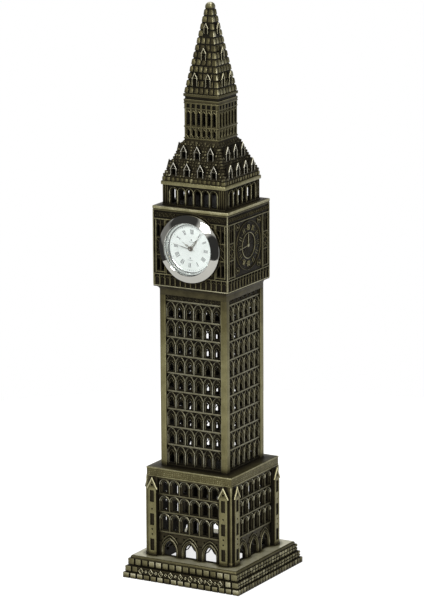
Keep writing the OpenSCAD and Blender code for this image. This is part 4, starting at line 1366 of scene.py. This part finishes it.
def build_clock():
    for name, shape, paint, slot, nodes, smooth in (
            ("bezel_and_case", draw_case(), CHROME, "polished_chrome", ("insert_case",), 25),
            ("watch_crystal", draw_crystal(), CRYSTAL, "crystal", ("crystal",), 50),
            ("rehaut", draw_dial_ring(), SILVER, "silver_ring", ("dial_ring",), SMOOTH_TO),
            ("dial_plate", draw_dial(), DIAL_PAINT, "dial_white", ("dial",), SMOOTH_TO),
            ("dial_print", draw_dial_print(), INK, "dial_white", (), SMOOTH_TO),
            ("sleeve", draw_friction_ring(), RUBBER, "black_rubber", ("friction_ring",), SMOOTH_TO)):
        piece(name, shape, paint, nodes, body=INSERT, smooth=smooth)
    piece("snap_back", draw_case_back(), BRUSHED, ("case_back",), body="case_back")
    hour_turn, minute_turn = SHOWN_MINUTES / 2, SHOWN_MINUTES * 6
    for name, *outline in (("hour_hand", hour_turn, (4.6,), 0.36, 1.0, 0.82),
                           ("minute_hand", minute_turn, (8.8,), 0.4, 0.8, 0.52),
                           ("second_hand", SECOND_TURN, (8.4, -2.6), 0.14, 0.5, 0.27)):
        piece(f"{name}_leaf", draw_hand(name, *outline), HAND_METAL, (name,), body=name)
    for name, *outline in (("hour_hand", hour_turn, 1.3, 2.4, 0.16),
                           ("minute_hand", minute_turn, 1.5, 4.4, 0.2)):
        piece(f"{name}_lume", draw_lume(name, *outline), LUME, body=name)


def paint_cad(paints):
    """Gives each CAD node that still shows its finished material."""
    for name, paint in paints.items():
        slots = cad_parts[name].data.materials
        slots.clear()
        slots.append(paint)


# ---- Studio ----

LENS, CAMERA_TO = 226.7, 1.55797
AZIMUTH, ELEVATION, ROLL = 29.833, 13.109, 0.318
AIM, LIT = Vector((0.00006, 0.00003, 0.11606)), Vector((0, 0, 0.12))
# Darker parts of the room round the light table, as (azimuth, elevation, spread in degrees, level)
DARK = ((27, -4, 27, 0.07), (-46, 34, 33, 0.09), (-95, -20, 20, 0.07), (-80, 6, 17, 0.42),
        (110, 35, 40, 0.05), (170, 40, 40, 0.05))
FLOOR_R, FLOOR_GLOW = 0.3, 0.78


def towards(azimuth, elevation):
    """The direction at an azimuth and elevation in degrees, from the front round to the right."""
    a, e = math.radians(azimuth), math.radians(elevation)
    return Vector((math.sin(a) * math.cos(e), -math.cos(a) * math.cos(e), math.sin(e)))


def add_camera():
    """The camera at the photograph's angle: a long lens, a little above the clock's height."""
    back = towards(AZIMUTH, ELEVATION)
    lens = bpy.data.cameras.new("camera")
    lens.lens, lens.sensor_width, lens.clip_end = LENS, 36, 20
    turn = (-back).to_track_quat("-Z", "Y") @ Quaternion((0, 0, 1), -math.radians(ROLL))
    bpy.context.scene.camera = add_object("camera", lens, AIM + back * CAMERA_TO, turn)


def add_light(name, at, size, power):
    lamp = bpy.data.lights.new(name, "AREA")
    lamp.shape, (lamp.size, lamp.size_y), lamp.energy = "RECTANGLE", size, power
    add_object(name, lamp, at, (LIT - Vector(at)).to_track_quat("-Z", "Y"))


def light_sky(tree):
    """White walls that show behind the model, with dark parts of the room for the metal to mirror."""
    coord = node(tree, "ShaderNodeTexCoord")
    level = 1.0
    for azimuth, elevation, wide, dim in DARK:
        inputs = {0: coord.outputs["Generated"], 1: towards(azimuth, elevation)}
        dot = node(tree, "ShaderNodeVectorMath", inputs, operation="DOT_PRODUCT")
        inputs = {"Value": dot.outputs["Value"], "From Min": math.cos(math.radians(wide)),
                  "From Max": math.cos(math.radians(wide * 0.75)), "To Min": 1.0, "To Max": dim}
        fade = node(tree, "ShaderNodeMapRange", inputs, interpolation_type="SMOOTHSTEP")
        level = math_node(tree, "MULTIPLY", fade.outputs[0], level)
    seen = node(tree, "ShaderNodeLightPath").outputs["Is Camera Ray"]
    feed(tree, tree.nodes["Background"], {0: (1, 1, 1, 1), 1: math_node(tree, "MAXIMUM", level, seen)})


def add_studio():
    scene = bpy.context.scene
    scene.world = bpy.data.worlds.new("studio")
    scene.world.use_nodes = True
    light_sky(scene.world.node_tree)
    add_light("key", (0.15, -1.05, 0.78), (0.42, 0.42), 14)
    add_light("fill", (0.9, -0.5, 0.35), (0.6, 0.8), 7)
    add_light("top", (0.1, 0.1, 1.1), (0.8, 0.8), 6)
    floor = bpy.data.meshes.new("floor")
    floor.from_pydata([(x, y, 0) for x, y in circle(FLOOR_R, 96)], [], [tuple(range(96))])
    paint, tree, shader = material("pale_floor")
    feed(tree, shader, {"Base Color": (0.3, 0.3, 0.295, 1), "Roughness": 0.8,
                        "Emission Color": (1, 1, 1, 1), "Emission Strength": FLOOR_GLOW})
    floor.materials.append(paint)
    add_object("floor", floor)
    scene.view_settings.view_transform = "Standard"


build_tower()
build_clock()
paint_cad({
    "base_screws": STEEL, "movement_holder": WHITE, "movement_plate": GILT, "coil": COPPER,
    "circuit_board": BOARD, "coin_cell": BRUSHED, "battery_clip": GILT, "hour_wheel": GILT,
    "cannon_pinion": GILT, "seconds_arbor": STEEL, "setting_lever": STEEL, "stem": STEEL, "crown": BRUSHED,
})
add_camera()
add_studio()
